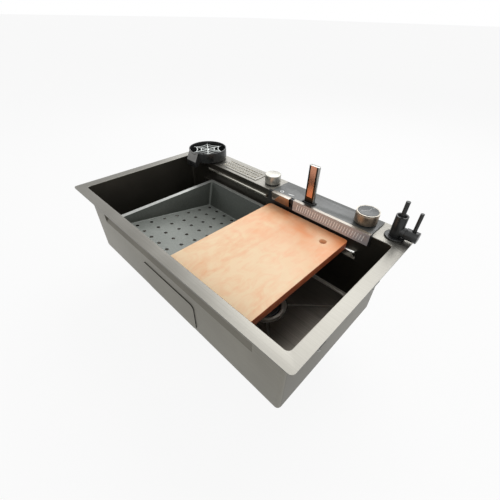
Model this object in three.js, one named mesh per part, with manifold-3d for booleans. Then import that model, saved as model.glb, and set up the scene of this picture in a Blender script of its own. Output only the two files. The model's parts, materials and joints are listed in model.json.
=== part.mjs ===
// Workstation kitchen sink: a drop-in steel bowl with a cup rinser, a drip grille, waterfall and rain
// outlets, a pull-out spray wand, control knobs, a two-lever tap, a colander and a cutting board.
// Millimetres, +Z up. Origin: middle of the rim outline in plan, on the underside of the rim plate,
// which is the top face of the worktop. +X runs to the right, +Y to the rear deck.
import * as THREE from 'three';
import { mergeVertices } from 'three/addons/utils/BufferGeometryUtils.js';
import Module from 'manifold-3d';

const wasm = await Module();
wasm.setup();

// ---------------------------------------------------------------- driving dimensions
const seatGap = 0.3; // clearance between pieces that touch
const slideGap = 6.55; // clearance of board and colander to the bowl walls, each side

// steel shell
const rimWidth = 750;
const rimDepth = 450;
const rimThickness = 3;
const rimCorner = 8;
const frontRim = 24;
const endRim = 25;
const rearDeck = 74.5;
const edgeRadius = 1.2;
const wall = 1.5;
const bowlDepth = 200;
const bowlCorner = 8;
const floorCorner = 1.5; // plan radius of the flat floor's corners
const creaseWidth = 7;
const creaseDepth = 0.6;
const creaseReach = 11; // from a floor crease's outer end to the walls
const floorRadius = 10;

// rest beads pressed into the front and rear walls
const restBeadDrop = 53.3; // rim top to the rest face
const restBeadHeight = 26.7;
const restBeadReach = 12.3;
const restBeadLength = 562;
const restBeadNose = 3;
const upperBeadDrop = 17.5;
const upperBeadHeight = 10;
const upperBeadReach = 5.8;
const upperBeadNose = 2.8;
const upperBeadLeft = -258;
const upperBeadRight = -4;

// cutting board
const boardLeft = 14.5;
const boardWidth = 243;
const boardThickness = 20;
const boardCorner = 9;
const boardHoleRadius = 8.7;
const boardHoleFromRight = 40.5;
const boardHoleFromRear = 45.5;

// colander
const colanderLeft = -239.5;
const colanderWidth = 247.5;
const colanderSheet = 1.2;
const colanderSideFlange = 13;
const colanderEndFlange = 11;
const colanderCorner = 8;
const basketCorner = 7;
const basketFloorRadius = 3;
const basketSideDraw = 2; // how far each side wall draws in towards the floor
const basketFrontDraw = 17;
const basketRearDraw = 19.5;
const basketMidDepth = 49.3; // from the flange to the floor at half its depth
const basketFloorSlope = 0.185; // the floor drops towards the rear
const drainHoleRadius = 4;
const drainHolePitchX = 35.7;
const drainHolePitchY = 41.2;
const drainHoleColumns = 6;
const drainHoleRows = 7;

// sound-deadening pads
const padThickness = 1.5;
const padCorner = 12;
const wallPadLength = 205;
const wallPadHeight = 82;
const wallPadDrop = 106;
const frontPadMiddle = 5.5;
const rearPadMiddle = -150;
const floorPadDepth = 230;
const leftPadWidth = 260;
const rightPadWidth = 80;
const leftPadMiddle = -190;
const rightPadMiddle = 280;

// cup rinser
const rinserX = -285;
const rinserSetback = 56; // rear edge of the rim to the rinser's axis
const dishRadius = 59.5;
const dishHeight = 35; // rim plate to the lip
const dishLift = 2.5; // rim plate to the underside of the dish
const dishWall = 2.3;
const dishFloor = 3;
const dishBend = 6; // outer radius between the dish's floor and wall
const beakWidth = 44;
const beakReach = 69;
const beakDrop = 2.5;
const rinserNeckRadius = 18;
const rinserShankRadius = 12;
const rinserShankLength = 48;
const rinserNutRadius = 17.5;
const nutHeight = 8;
const gridRadius = 52;
const gridLevel = 27;
const gridThickness = 2.5;
const gridSpokeWidth = 3;
const gridSpokes = 6;
const gridTurn = 22.6; // degrees from +X to the first spoke
const gridHubRadius = 6;
const gridHubSink = 2; // web underside to the middle of the hub's dome
const gridOuterLink = 45; // where the outer links meet the spokes
const gridOuterDraw = 18; // how far they are drawn in between the spokes
const gridInnerLink = 27;
const gridInnerDraw = 10;
const gridStemRadius = 5.5;
const gridTravel = 4;
const nozzleRadius = 3.5;
const nozzleBaseRadius = 9;
const nozzleBaseHeight = 3;
const nozzleDrop = 3.5; // web underside to the tip of the nozzle
const nozzlePlay = 0.4;
const waterWay = 1.5;
const springRadius = 7.5;
const springWire = 0.6;
const springTurns = 6;

// drip grille
const grilleMiddleX = -139.5;
const grilleSetback = 38.5;
const grilleLength = 155;
const grilleDepth = 51;
const grilleThickness = 1.5;
const grilleCorner = 3;
const grilleSkirtDepth = 3.5;
const grilleLedge = 6;
const grilleRows = 3;
const grilleColumns = 14;
const grillePitch = 10;
const grilleSlotLength = 7.4;
const grilleSlotWidth = 9;
const grilleBar = 5; // between two rows of slots
const trayDepth = 24;
const trayWall = 1.2;
const trayFlange = 5;
const traySpoutRadius = 6;

// left knob
const drainKnobX = -19;
const controlsSetback = 38;
const drainKnobRadius = 22.2;
const drainKnobHeight = 24;
const knobBaseRadius = 21;
const knobBaseHeight = 2.2;
const knobSleeveRadius = 8;
const knobSleeveLength = 18;
const knobStemRadius = 4;
const knobNutRadius = 14;
const knobChamfer = 1.2;

// glass control panel
const panelLeft = 13;
const panelLength = 287;
const panelSetback = 2; // front edge of the deck to the glass
const panelDepth = 66.5;
const panelThickness = 3;
const panelCorner = 3;

// right knob
const mixerKnobX = 265.5;
const mixerKnobRadius = 26.3;
const mixerRingRadius = 24;
const mixerRingHeight = 2.4;
const mixerKnobHeight = 23.7;
const knobTrimHeight = 2.5;
const knobTrimWidth = 2.5;
const knobGlassThickness = 2.7;
const valveShankRadius = 12;
const valveStemRadius = 4;
const valveStemHeight = 11;
const valveBodyRadius = 17;
const valveBodyHeight = 44;
const valvePortRadius = 6;
const valvePortLength = 14;
const valvePortWall = 1.5;
const valveNutRadius = 15.5;

// outlet housing, rain plate and waterfall spout
const housingLeft = 4;
const housingLength = 299;
const housingFace = 4.1; // thickness of the face plate
const housingDrop = 27; // rim top to the lower edge of the face plate
const housingLedge = 2.2; // thickness of the ledge on the deck
const chamberLeft = 26;
const chamberLength = 266;
const chamberDrop = 7; // rim top to the top of the wall cut-out
const chamberHeight = 16;
const chamberReach = 7.4; // behind the inner wall face
const chamberWall = 1.5;
const chamberSplitX = 83;
const inletRadius = 5;
const inletBore = 3;
const inletLength = 20;
const waterInletX = 54;
const rainInletX = 187;
const rainLeft = 89;
const rainLength = 211;
const rainSheet = 1.4;
const rainDrop = 25;
const rainSlots = 28;
const rainSlotPitch = 6.8;
const rainSlotHeight = 16;
const rainSlotWidth = 2;
const rainSlotLean = 3;
const rainSlotTop = 3; // rim top to the upper end of the slots
const coverSheet = 1.2; // folded top of the rain plate
const spoutLeft = 19.5;
const spoutLength = 58.5;
const spoutReach = 6.3; // in front of the housing face
const spoutDrop = 20;
const spoutFoot = 1.6; // depth of the spout at its lower edge
const spoutSheet = 1;
const spoutWindowHeight = 8;

// pull-out spray wand
const wandX = 124;
const wandSetback = 13.5; // front edge of the deck to the wand's axis
const wandWidth = 28;
const wandThickness = 9;
const wandHeight = 101; // above the rim plate
const wandBelow = 33; // below the rim plate top
const wandChamfer = 2;
const wandNippleRadius = 4.2;
const wandNippleLength = 14;
const wandNippleBore = 2.5;
const collarWall = 1.2;
const collarBrim = 1.5;
const collarHeight = 3.4;
const collarSleeveLength = 22;
const wandNutBrim = 7;
const wandNutLip = 0.75; // width of the nut on the side of the bowl

// two-lever tap
const tapX = 336.5;
const tapSetback = 39;
const tapFlangeRadius = 22;
const tapFlangeHeight = 3.5;
const tapRadius = 12.8;
const tapHeight = 53;
const tapShankRadius = 9;
const tapShankLength = 45;
const tapBore = 5;
const tapNutRadius = 15;
const tapSideLevel = 17;
const tapStubRadius = 11;
const tapStubReach = 18;
const sideCapRadius = 12.5;
const sideCapLength = 26.5;
const sideSpigotRadius = 4;
const sideSpigotLength = 8;
const sidePinRadius = 3.9;
const sidePinX = 33;
const sidePinTop = 72;
const sidePinRoot = 6; // depth of the pin's root in the cap
const topPinRadius = 4.6;
const topPinHeight = 86;
const topBallRadius = 7;
const topBallDrop = 7;
const topSocketFlare = 2.5;

// drain
const drainX = 160;
const drainY = -28;
const drainFlangeRadius = 57;
const drainRecess = 3;
const drainSkirtRadius = 43;
const drainSkirtWall = 2;
const drainSkirtLength = 27;
const drainFlangeThickness = 2.9;
const drainCoverRadius = 39.5;
const drainCoverThickness = 3;
const drainCoverStemRadius = 3.5;
const drainCoverStemLength = 38;
const drainGasketThickness = 2;
const drainGasketWidth = 10;
const drainNutHeight = 7;
const drainNutWidth = 9;
const drainCupWall = 2.2;
const drainCupDepth = 50;
const drainCupFloor = 3;
const drainBridgeWidth = 9;
const drainBridgeHeight = 4;
const drainNeckRadius = 24;
const drainNeckLength = 16;
const tailRadius = 20;
const tailWall = 1.5;
const tailLength = 62;
const tailSeat = 12; // length of tailpiece inside the neck

// overflow
const overflowLevel = -97;
const overflowWidth = 56;
const overflowHeight = 18;
const overflowHoleInset = 5;
const overflowCoverSheet = 1.5;
const overflowBoxDepth = 22;
const overflowBoxWall = 1.5;
const overflowPipeRadius = 9;
const overflowPipeBore = 7.5;
const overflowSocketWall = 1.8;
const overflowSocketLength = 14;
const overflowBend = 22;
const overflowPortDrop = 36; // bowl floor to the middle of the side port of the cup

// worktop clips
const clipRear = 80;
const clipFront = -120;
const clipWidth = 20;
const clipSheet = 2;
const clipHeight = 46;
const clipFoot = 12;
const clipTopDrop = 7;
const clipScrewRadius = 2.5;
const clipScrewLength = 34;
const clipHeadRadius = 4.5;
const clipHeadHeight = 3;

// facets of a full turn
const bigSides = 40;
const midSides = 28;
const smallSides = 20;

// ---------------------------------------------------------------- derived places
const rimTop = rimThickness;
const openRight = rimWidth / 2 - endRim;
const openFront = -rimDepth / 2 + frontRim;
const openBack = rimDepth / 2 - rearDeck;
const innerRight = openRight - edgeRadius;
const innerFront = openFront + edgeRadius;
const innerBack = openBack - edgeRadius;
const floorTop = rimTop - bowlDepth + wall;
const restTop = rimTop - restBeadDrop;
const deckUnder = -rimThickness; // deck underside, seen from the rim top
const shankHole = seatGap; // added to a shank's radius for its hole
const panelTop = seatGap + panelThickness; // above the rim top
const rinserY = rimDepth / 2 - rinserSetback;
const grilleMiddleY = rimDepth / 2 - grilleSetback;
const controlsY = rimDepth / 2 - controlsSetback;
const tapY = rimDepth / 2 - tapSetback;
const panelFront = openBack + panelSetback;
const wandY = openBack + wandSetback;

// ---------------------------------------------------------------- shape helpers
function solidOf(geometry) {
  const bare = geometry.clone();
  bare.deleteAttribute('normal');
  bare.deleteAttribute('uv');
  const merged = mergeVertices(bare, 1e-4);
  const position = merged.attributes.position;
  const faces = [];
  const corner = [new THREE.Vector3(), new THREE.Vector3(), new THREE.Vector3()];
  let volume = 0;
  for (let i = 0; i < merged.index.count; i += 3) {
    const face = [0, 1, 2].map((k) => merged.index.getX(i + k));
    if (face[0] === face[1] || face[1] === face[2] || face[2] === face[0]) continue;
    face.forEach((vertex, k) => corner[k].fromBufferAttribute(position, vertex));
    volume += corner[0].dot(corner[1].cross(corner[2]));
    faces.push(...face);
  }
  if (volume < 0) faces.reverse();
  const vertProperties = new Float32Array(position.array);
  const triVerts = new Uint32Array(faces);
  return new wasm.Manifold(new wasm.Mesh({ numProp: 3, vertProperties, triVerts }));
}

function geometryOf(solid) {
  const mesh = solid.getMesh();
  const geometry = new THREE.BufferGeometry();
  geometry.setAttribute('position', new THREE.BufferAttribute(mesh.vertProperties, 3));
  geometry.setIndex(new THREE.BufferAttribute(mesh.triVerts, 1));
  return geometry;
}

// joins a list of solids
function joined(...solids) {
  return solids.reduce((whole, next) => whole.add(next));
}

// takes each of the cutters out of a solid
function cut(solid, ...cutters) {
  return cutters.reduce((whole, next) => whole.subtract(next), solid);
}

function block(x0, x1, y0, y1, z0, z1) {
  const box = new THREE.BoxGeometry(x1 - x0, y1 - y0, z1 - z0);
  return solidOf(box.translate((x0 + x1) / 2, (y0 + y1) / 2, (z0 + z1) / 2));
}

function roundedOutline(x0, x1, y0, y1, radius) {
  const shape = new THREE.Shape();
  shape.moveTo(x0 + radius, y0);
  shape.lineTo(x1 - radius, y0);
  shape.absarc(x1 - radius, y0 + radius, radius, -Math.PI / 2, 0);
  shape.lineTo(x1, y1 - radius);
  shape.absarc(x1 - radius, y1 - radius, radius, 0, Math.PI / 2);
  shape.lineTo(x0 + radius, y1);
  shape.absarc(x0 + radius, y1 - radius, radius, Math.PI / 2, Math.PI);
  shape.lineTo(x0, y0 + radius);
  shape.absarc(x0 + radius, y0 + radius, radius, Math.PI, Math.PI * 1.5);
  return shape;
}

// a plate of any outline between two levels
function slab(shape, z0, z1, curveSegments = 5) {
  const body = new THREE.ExtrudeGeometry(shape, { depth: z1 - z0, bevelEnabled: false, curveSegments });
  return solidOf(body.translate(0, 0, z0));
}

function roundedSlab(x0, x1, y0, y1, z0, z1, radius) {
  return slab(roundedOutline(x0, x1, y0, y1, radius), z0, z1);
}

// a bar along X whose section is given as [y, z] points
function barAlongX(section, x0, x1) {
  const shape = new THREE.Shape(section.map(([y, z]) => new THREE.Vector2(y, z)));
  const body = new THREE.ExtrudeGeometry(shape, { depth: x1 - x0, bevelEnabled: false });
  const turn = new THREE.Matrix4().makeBasis(
    new THREE.Vector3(0, 1, 0),
    new THREE.Vector3(0, 0, 1),
    new THREE.Vector3(1, 0, 0),
  );
  return solidOf(body.applyMatrix4(turn).translate(x0, 0, 0));
}

// a plate that stands across Y, its outline drawn in X and Z
function plateAcrossY(shape, y0, y1, curveSegments = 5) {
  const body = new THREE.ExtrudeGeometry(shape, { depth: y1 - y0, bevelEnabled: false, curveSegments });
  return solidOf(body.rotateX(Math.PI / 2).translate(0, y1, 0));
}

// a round bar along Z
function rod(radius, z0, z1, x = 0, y = 0, sides = smallSides) {
  const bar = new THREE.CylinderGeometry(radius, radius, z1 - z0, sides).rotateX(Math.PI / 2);
  return solidOf(bar.translate(x, y, (z0 + z1) / 2));
}

function rodAlongX(radius, x0, x1, y, z, sides = smallSides) {
  const bar = new THREE.CylinderGeometry(radius, radius, x1 - x0, sides).rotateZ(Math.PI / 2);
  return solidOf(bar.translate((x0 + x1) / 2, y, z));
}

function rodAlongY(radius, y0, y1, x, z, sides = smallSides) {
  const bar = new THREE.CylinderGeometry(radius, radius, y1 - y0, sides);
  return solidOf(bar.translate(x, (y0 + y1) / 2, z));
}

// a ring with a round hole through it
function washer(outer, inner, z0, z1, sides = midSides) {
  return cut(rod(outer, z0, z1, 0, 0, sides), rod(inner, z0 - 1, z1 + 1, 0, 0, sides));
}

function hexNut(radius, bore, z0, z1) {
  return cut(rod(radius, z0, z1, 0, 0, 6), rod(bore, z0 - 1, z1 + 1));
}

// a body of revolution about Z; the profile holds [radius, z] points from the axis round to the axis
function turned(profile, sides = bigSides) {
  const points = profile.map(([radius, z]) => new THREE.Vector2(radius, z));
  return solidOf(new THREE.LatheGeometry(points, sides).rotateX(Math.PI / 2));
}

// a closed skin over rings of points with equal counts, flat across the first and the last ring
function loft(rings) {
  const count = rings[0].length;
  const index = [];
  for (let level = 0; level < rings.length - 1; level += 1) {
    for (let i = 0; i < count; i += 1) {
      const low = level * count + i;
      const next = level * count + ((i + 1) % count);
      index.push(low, next, next + count, low, next + count, low + count);
    }
  }
  const flat = (ring) => ring.map((point) => new THREE.Vector2(point.x, point.y));
  const last = (rings.length - 1) * count;
  for (const [a, b, c] of THREE.ShapeUtils.triangulateShape(flat(rings[0]), [])) index.push(c, b, a);
  for (const [a, b, c] of THREE.ShapeUtils.triangulateShape(flat(rings.at(-1)), [])) {
    index.push(last + a, last + b, last + c);
  }
  const geometry = new THREE.BufferGeometry().setFromPoints(rings.flat());
  geometry.setIndex(index);
  return solidOf(geometry);
}

// one ring of a rounded rectangle, its height given by a function of the point
function outlineRing(x0, x1, y0, y1, radius, height, steps = 5) {
  const points = [];
  const middles = [[x1 - radius, y0 + radius], [x1 - radius, y1 - radius],
    [x0 + radius, y1 - radius], [x0 + radius, y0 + radius]];
  middles.forEach(([x, y], quarter) => {
    for (let i = 0; i <= steps; i += 1) {
      const angle = (quarter - 1 + i / steps) * Math.PI / 2;
      const px = x + radius * Math.cos(angle);
      const py = y + radius * Math.sin(angle);
      points.push(new THREE.Vector3(px, py, height(px, py)));
    }
  });
  return points;
}

// an unbroken round tube through points, with closed ends
function tubeThrough(points, radius, sides) {
  const rings = points.map((point, i) => {
    const ahead = points[Math.min(i + 1, points.length - 1)];
    const behind = points[Math.max(i - 1, 0)];
    const along = ahead.clone().sub(behind).normalize();
    const across = new THREE.Vector3(point.x, point.y, 0).normalize();
    const up = new THREE.Vector3().crossVectors(along, across).normalize();
    const out = new THREE.Vector3().crossVectors(up, along);
    return Array.from({ length: sides }, (_, k) => {
      const angle = (2 * Math.PI * k) / sides;
      const offset = out.clone().multiplyScalar(radius * Math.cos(angle));
      return point.clone().add(offset).addScaledVector(up, radius * Math.sin(angle));
    });
  });
  const index = [];
  for (let level = 0; level < rings.length - 1; level += 1) {
    for (let k = 0; k < sides; k += 1) {
      const low = level * sides + k;
      const next = level * sides + ((k + 1) % sides);
      index.push(low, next, next + sides, low, next + sides, low + sides);
    }
  }
  const last = (rings.length - 1) * sides;
  for (let k = 1; k < sides - 1; k += 1) {
    index.push(0, k + 1, k);
    index.push(last, last + k, last + k + 1);
  }
  const geometry = new THREE.BufferGeometry().setFromPoints(rings.flat());
  geometry.setIndex(index);
  return solidOf(geometry);
}

// ---------------------------------------------------------------- finishes and placing
const gunmetal = { color: 0x6f6c68, roughness: 0.35, metalness: 0.9 };
const darkSteel = { color: 0x3c3f42, roughness: 0.4, metalness: 0.8 };
const brightSteel = { color: 0xc9c9c7, roughness: 0.15, metalness: 1 };
const blackMetal = { color: 0x17181a, roughness: 0.4, metalness: 0.6 };
const blackGlass = { color: 0x08090b, roughness: 0.05, metalness: 0 };
const blackPlastic = { color: 0x1c1d1f, roughness: 0.55, metalness: 0 };
const greyPlastic = { color: 0x8d8f90, roughness: 0.5, metalness: 0 };
const padRubber = { color: 0x3f4142, roughness: 0.9, metalness: 0 };
const brass = { color: 0xb08d3f, roughness: 0.35, metalness: 1 };
const board = { color: 0xd79a68, roughness: 0.6, metalness: 0 };

const sink = new THREE.Group();

// a nested group whose own origin is at the given place
function assembly(x = 0, y = 0, z = 0) {
  const group = new THREE.Group();
  group.position.set(x, y, z);
  sink.add(group);
  return group;
}

function piece(group, name, solid, finish) {
  const mesh = new THREE.Mesh(geometryOf(solid), new THREE.MeshStandardMaterial(finish));
  mesh.name = name;
  group.add(mesh);
}

// ---------------------------------------------------------------- steel shell
// bowl outline grown by an offset: round floor edge below, round rim edge above
function bowlForm(offset, rounded) {
  const ring = (grow, z) => outlineRing(
    -innerRight - offset - grow,
    innerRight + offset + grow,
    innerFront - offset - grow,
    innerBack + offset + grow,
    Math.max(bowlCorner + grow, floorCorner) + offset,
    () => z,
  );
  const floor = floorTop - offset;
  const rings = [];
  const steps = 4;
  for (let i = 0; i <= steps; i += 1) {
    const angle = (i / steps) * Math.PI / 2;
    rings.push(ring(floorRadius * (Math.sin(angle) - 1), floor + floorRadius * (1 - Math.cos(angle))));
  }
  if (!rounded) {
    rings.push(ring(0, rimTop - edgeRadius / 2));
    return loft(rings);
  }
  for (let i = 0; i <= steps; i += 1) {
    const angle = (i / steps) * Math.PI / 2;
    rings.push(ring(edgeRadius * (1 - Math.cos(angle)), rimTop - edgeRadius * (1 - Math.sin(angle))));
  }
  rings.push(ring(edgeRadius, rimTop + 1));
  return loft(rings);
}

// a bead that stands out from the rear wall face into the bowl; inset shrinks it to the groove behind
function restBead({ left, right, top, height, reach, nose }, inset) {
  const low = top - height;
  const run = height - nose;
  const slant = inset * Math.hypot(1, reach / run);
  const bend = inset > 0 ? nose / 2 : nose;
  const upper = top - inset;
  const out = (reach * (upper - bend - low)) / run - slant;
  const depth = inset > 0 ? wall + 1 : wall / 2;
  const section = [[innerBack + depth, upper]];
  const steps = 3;
  for (let i = 0; i <= steps; i += 1) {
    const angle = Math.PI / 2 * (i / steps);
    section.push([innerBack - out + bend * (1 - Math.sin(angle)), upper - bend * (1 - Math.cos(angle))]);
  }
  section.push([innerBack + depth, low + ((slant - depth) * run) / reach]);
  const plan = new THREE.Shape();
  const swing = reach * 1.5 + inset;
  plan.moveTo(left + inset, innerBack + depth + 1);
  plan.lineTo(left + inset, innerBack);
  plan.quadraticCurveTo(left + inset, innerBack - reach, left + swing, innerBack - reach);
  plan.lineTo(right - swing, innerBack - reach);
  plan.quadraticCurveTo(right - inset, innerBack - reach, right - inset, innerBack);
  plan.lineTo(right - inset, innerBack + depth + 1);
  return barAlongX(section, left, right).intersect(slab(plan, low - reach, top + 1));
}

// the same bead on the front wall
function mirroredToFront(solid) {
  return solid.mirror([0, 1, 0]).translate([0, innerFront + innerBack, 0]);
}

const lowerBead = {
  left: -restBeadLength / 2,
  right: restBeadLength / 2,
  top: restTop,
  height: restBeadHeight,
  reach: restBeadReach,
  nose: restBeadNose,
};
const upperBead = {
  left: upperBeadLeft,
  right: upperBeadRight,
  top: rimTop - upperBeadDrop,
  height: upperBeadHeight,
  reach: upperBeadReach,
  nose: upperBeadNose,
};

// a shallow V groove in the floor, from the drain recess to a point near a corner
function floorCrease(endX, endY) {
  const start = drainFlangeRadius + seatGap * 2;
  const run = Math.hypot(endX - drainX, endY - drainY);
  const half = creaseWidth / 2;
  const flare = 3;
  const brink = creaseDepth * (flare - 1);
  const vee = [[0, -creaseDepth], [half * flare, brink], [-half * flare, brink]];
  const tilt = THREE.MathUtils.radToDeg(Math.atan(creaseDepth / (run - start)));
  const turn = THREE.MathUtils.radToDeg(Math.atan2(endY - drainY, endX - drainX));
  return barAlongX(vee, -1, run - start)
    .rotate([0, -tilt, 0])
    .translate([start, 0, 0])
    .rotate([0, 0, turn])
    .translate([drainX, drainY, floorTop]);
}

function shell() {
  const rimPlate = roundedSlab(
    -rimWidth / 2, rimWidth / 2, -rimDepth / 2, rimDepth / 2, 0, rimTop, rimCorner,
  );
  const drainSeat = rod(drainFlangeRadius + seatGap * 2 + wall, floorTop - drainRecess - wall,
    floorTop - wall / 2, drainX, drainY, bigSides);
  let body = joined(bowlForm(wall, false), rimPlate, drainSeat);
  body = cut(body, bowlForm(0, true));
  for (const bead of [lowerBead, upperBead]) {
    const ridge = restBead(bead, 0);
    const groove = restBead(bead, wall);
    body = cut(joined(body, ridge, mirroredToFront(ridge)), groove, mirroredToFront(groove));
  }
  for (const endX of [-innerRight + creaseReach, innerRight - creaseReach]) {
    body = cut(body, floorCrease(endX, innerFront + creaseReach), floorCrease(endX, innerBack - creaseReach));
  }
  const through = (radius, x, y) => rod(radius + shankHole, -5, rimTop + 1, x, y);
  const grille = grilleOpening(0);
  const sleeve = wandSleeve(seatGap);
  const chamberRoof = rimTop - chamberDrop;
  const overflowEnd = overflowHeight / 2 - overflowHoleInset;
  const overflow = roundedOutline(...overflowOutline(-overflowHoleInset), overflowEnd);
  return cut(
    body,
    through(rinserShankRadius, rinserX, rinserY),
    through(knobSleeveRadius, drainKnobX, controlsY),
    through(valveShankRadius, mixerKnobX, controlsY),
    through(tapShankRadius, tapX, tapY),
    block(wandX - sleeve.x, wandX + sleeve.x, wandY - sleeve.y, wandY + sleeve.y, -1, rimTop + 1),
    block(grille.x0, grille.x1, grille.y0, grille.y1, -1, rimTop + 1),
    block(chamberLeft, chamberLeft + chamberLength, innerBack - 1, innerBack + wall + 1,
      chamberRoof - chamberHeight, chamberRoof),
    plateAcrossY(overflow, innerBack - 1, innerBack + wall + 1),
    rod(drainFlangeRadius + seatGap * 2, floorTop - drainRecess, floorTop + 1, drainX, drainY, bigSides),
    rod(drainSkirtRadius + shankHole, floorTop - drainRecess - wall - 1, floorTop, drainX, drainY, bigSides),
  );
}

// opening in the deck under the drip grille, grown by a margin
function grilleOpening(margin) {
  return {
    x0: grilleMiddleX - grilleLength / 2 + grilleLedge - margin,
    x1: grilleMiddleX + grilleLength / 2 - grilleLedge + margin,
    y0: grilleMiddleY - grilleDepth / 2 + grilleLedge - margin,
    y1: grilleMiddleY + grilleDepth / 2 - grilleLedge + margin,
  };
}

// half sizes of the wand's sleeve, grown by a margin
function wandSleeve(margin) {
  return {
    x: wandWidth / 2 + seatGap + collarWall + margin,
    y: wandThickness / 2 + seatGap + collarWall + margin,
  };
}

// left, right, lower and upper edge of the overflow cover, grown by a margin
function overflowOutline(margin) {
  return [
    drainX - overflowWidth / 2 - margin,
    drainX + overflowWidth / 2 + margin,
    overflowLevel - overflowHeight / 2 - margin,
    overflowLevel + overflowHeight / 2 + margin,
  ];
}

// ---------------------------------------------------------------- pads on the shell
function wallPad(middle, y0) {
  const outline = roundedOutline(
    middle - wallPadLength / 2,
    middle + wallPadLength / 2,
    rimTop - wallPadDrop - wallPadHeight,
    rimTop - wallPadDrop,
    padCorner,
  );
  return plateAcrossY(outline, y0, y0 + padThickness);
}

function floorPad(middle, width) {
  const top = floorTop - wall - seatGap;
  const middleY = (innerFront + innerBack) / 2;
  return roundedSlab(middle - width / 2, middle + width / 2, middleY - floorPadDepth / 2,
    middleY + floorPadDepth / 2, top - padThickness, top, padCorner);
}

function buildShell() {
  const group = assembly();
  piece(group, 'sink_bowl', shell(), gunmetal);
  const frontPadFace = innerFront - wall - seatGap - padThickness;
  piece(group, 'sound_pad_front', wallPad(frontPadMiddle, frontPadFace), padRubber);
  piece(group, 'sound_pad_back', wallPad(rearPadMiddle, innerBack + wall + seatGap), padRubber);
  piece(group, 'sound_pad_base_left', floorPad(leftPadMiddle, leftPadWidth), padRubber);
  piece(group, 'sound_pad_base_right', floorPad(rightPadMiddle, rightPadWidth), padRubber);
}

// ---------------------------------------------------------------- cup rinser
// side profile of the drain beak in [y, z], shrunk by a wall
function beakSection(shrink) {
  const top = dishHeight - shrink;
  const front = -beakReach + shrink;
  const shoulder = 17 - shrink;
  const inside = shrink > 0;
  const floor = inside ? dishLift + dishFloor : dishLift;
  const lip = -beakDrop - (inside ? 1 : 0);
  const throat = -beakReach + 11 - shrink;
  const section = [
    [-30, top], [-30, floor], [throat + 3, floor], [throat, floor - 2], [throat, lip], [front, lip],
  ];
  const steps = 5;
  for (let i = 0; i <= steps; i += 1) {
    const angle = (i / steps) * Math.PI / 2;
    section.push([front + shoulder * (1 - Math.cos(angle)), top - shoulder * (1 - Math.sin(angle))]);
  }
  return section;
}

// side profile of the dish, its wall at a radius and its floor at a level, up to a height
function dishProfile(radius, floor, bend, height) {
  const profile = [[0, floor]];
  const steps = 4;
  for (let i = 0; i <= steps; i += 1) {
    const angle = (i / steps) * Math.PI / 2;
    profile.push([radius - bend * (1 - Math.sin(angle)), floor + bend * (1 - Math.cos(angle))]);
  }
  return profile.concat([[radius, height], [0, height]]);
}

function dish() {
  const low = dishLift;
  const floor = low + dishFloor;
  const outer = turned(dishProfile(dishRadius, low, dishBend, dishHeight));
  const hollow = turned(dishProfile(dishRadius - dishWall, floor, dishBend - dishWall, dishHeight + 1));
  const half = beakWidth / 2;
  const beak = barAlongX(beakSection(0), -half, half);
  const channel = barAlongX(beakSection(dishWall), -half + dishWall, half - dishWall);
  const neckBore = rinserShankRadius + shankHole;
  return cut(
    joined(outer, beak, rod(rinserNeckRadius, seatGap, low + 1, 0, 0, midSides)),
    hollow,
    channel,
    rod(neckBore, 0, low + 1.2),
    rod(waterWay * 2, 0, floor + 1, 0, 0, 12),
  );
}

// one drawn-in bar of the press grid between two neighbouring spokes
function gridLink(radius, draw, index) {
  const step = (2 * Math.PI) / gridSpokes;
  const start = THREE.MathUtils.degToRad(gridTurn) + step * index;
  const at = (r, angle) => new THREE.Vector2(r * Math.cos(angle), r * Math.sin(angle));
  const half = gridSpokeWidth / 2;
  const shape = new THREE.Shape();
  const outerEnd = at(radius + half, start + step);
  const outerPull = at(radius - draw + half, start + step / 2);
  const innerStart = at(radius - half, start);
  const innerPull = at(radius - draw - half, start + step / 2);
  shape.moveTo(...at(radius + half, start));
  shape.quadraticCurveTo(...outerPull, ...outerEnd);
  shape.lineTo(...at(radius - half, start + step));
  shape.quadraticCurveTo(...innerPull, ...innerStart);
  return slab(shape, gridLevel, gridLevel + gridThickness, 6);
}

function pressGrid() {
  const hub = new THREE.SphereGeometry(gridHubRadius, 20, 12).rotateX(Math.PI / 2);
  const stemFoot = dishLift + dishFloor + seatGap + nozzleBaseHeight + gridTravel + seatGap * 2;
  let web = joined(
    solidOf(hub.translate(0, 0, gridLevel - gridHubSink)),
    rod(gridStemRadius, stemFoot, gridLevel + 1),
  );
  for (let i = 0; i < gridSpokes; i += 1) {
    const angle = gridTurn + (360 / gridSpokes) * i;
    const half = gridSpokeWidth / 2;
    const spoke = block(gridHubRadius - 1, gridRadius, -half, half, gridLevel, gridLevel + gridThickness);
    web = joined(web, spoke.rotate([0, 0, angle]));
    web = joined(web, gridLink(gridOuterLink, gridOuterDraw, i), gridLink(gridInnerLink, gridInnerDraw, i));
  }
  const boreTop = gridLevel - nozzleDrop + gridTravel + seatGap;
  return cut(
    web,
    rod(nozzleRadius + nozzlePlay, 0, boreTop),
    rod(waterWay, boreTop - 1, gridLevel + gridHubRadius, 0, 0, 8),
  );
}

function returnSpring() {
  const low = dishLift + dishFloor + seatGap + nozzleBaseHeight + seatGap + springWire;
  const high = gridLevel - seatGap - springWire;
  const steps = springTurns * 8;
  const points = [];
  for (let i = 0; i <= steps; i += 1) {
    const angle = (2 * Math.PI * i) / 8;
    const z = low + ((high - low) * i) / steps;
    points.push(new THREE.Vector3(springRadius * Math.cos(angle), springRadius * Math.sin(angle), z));
  }
  return tubeThrough(points, springWire, 5);
}

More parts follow.
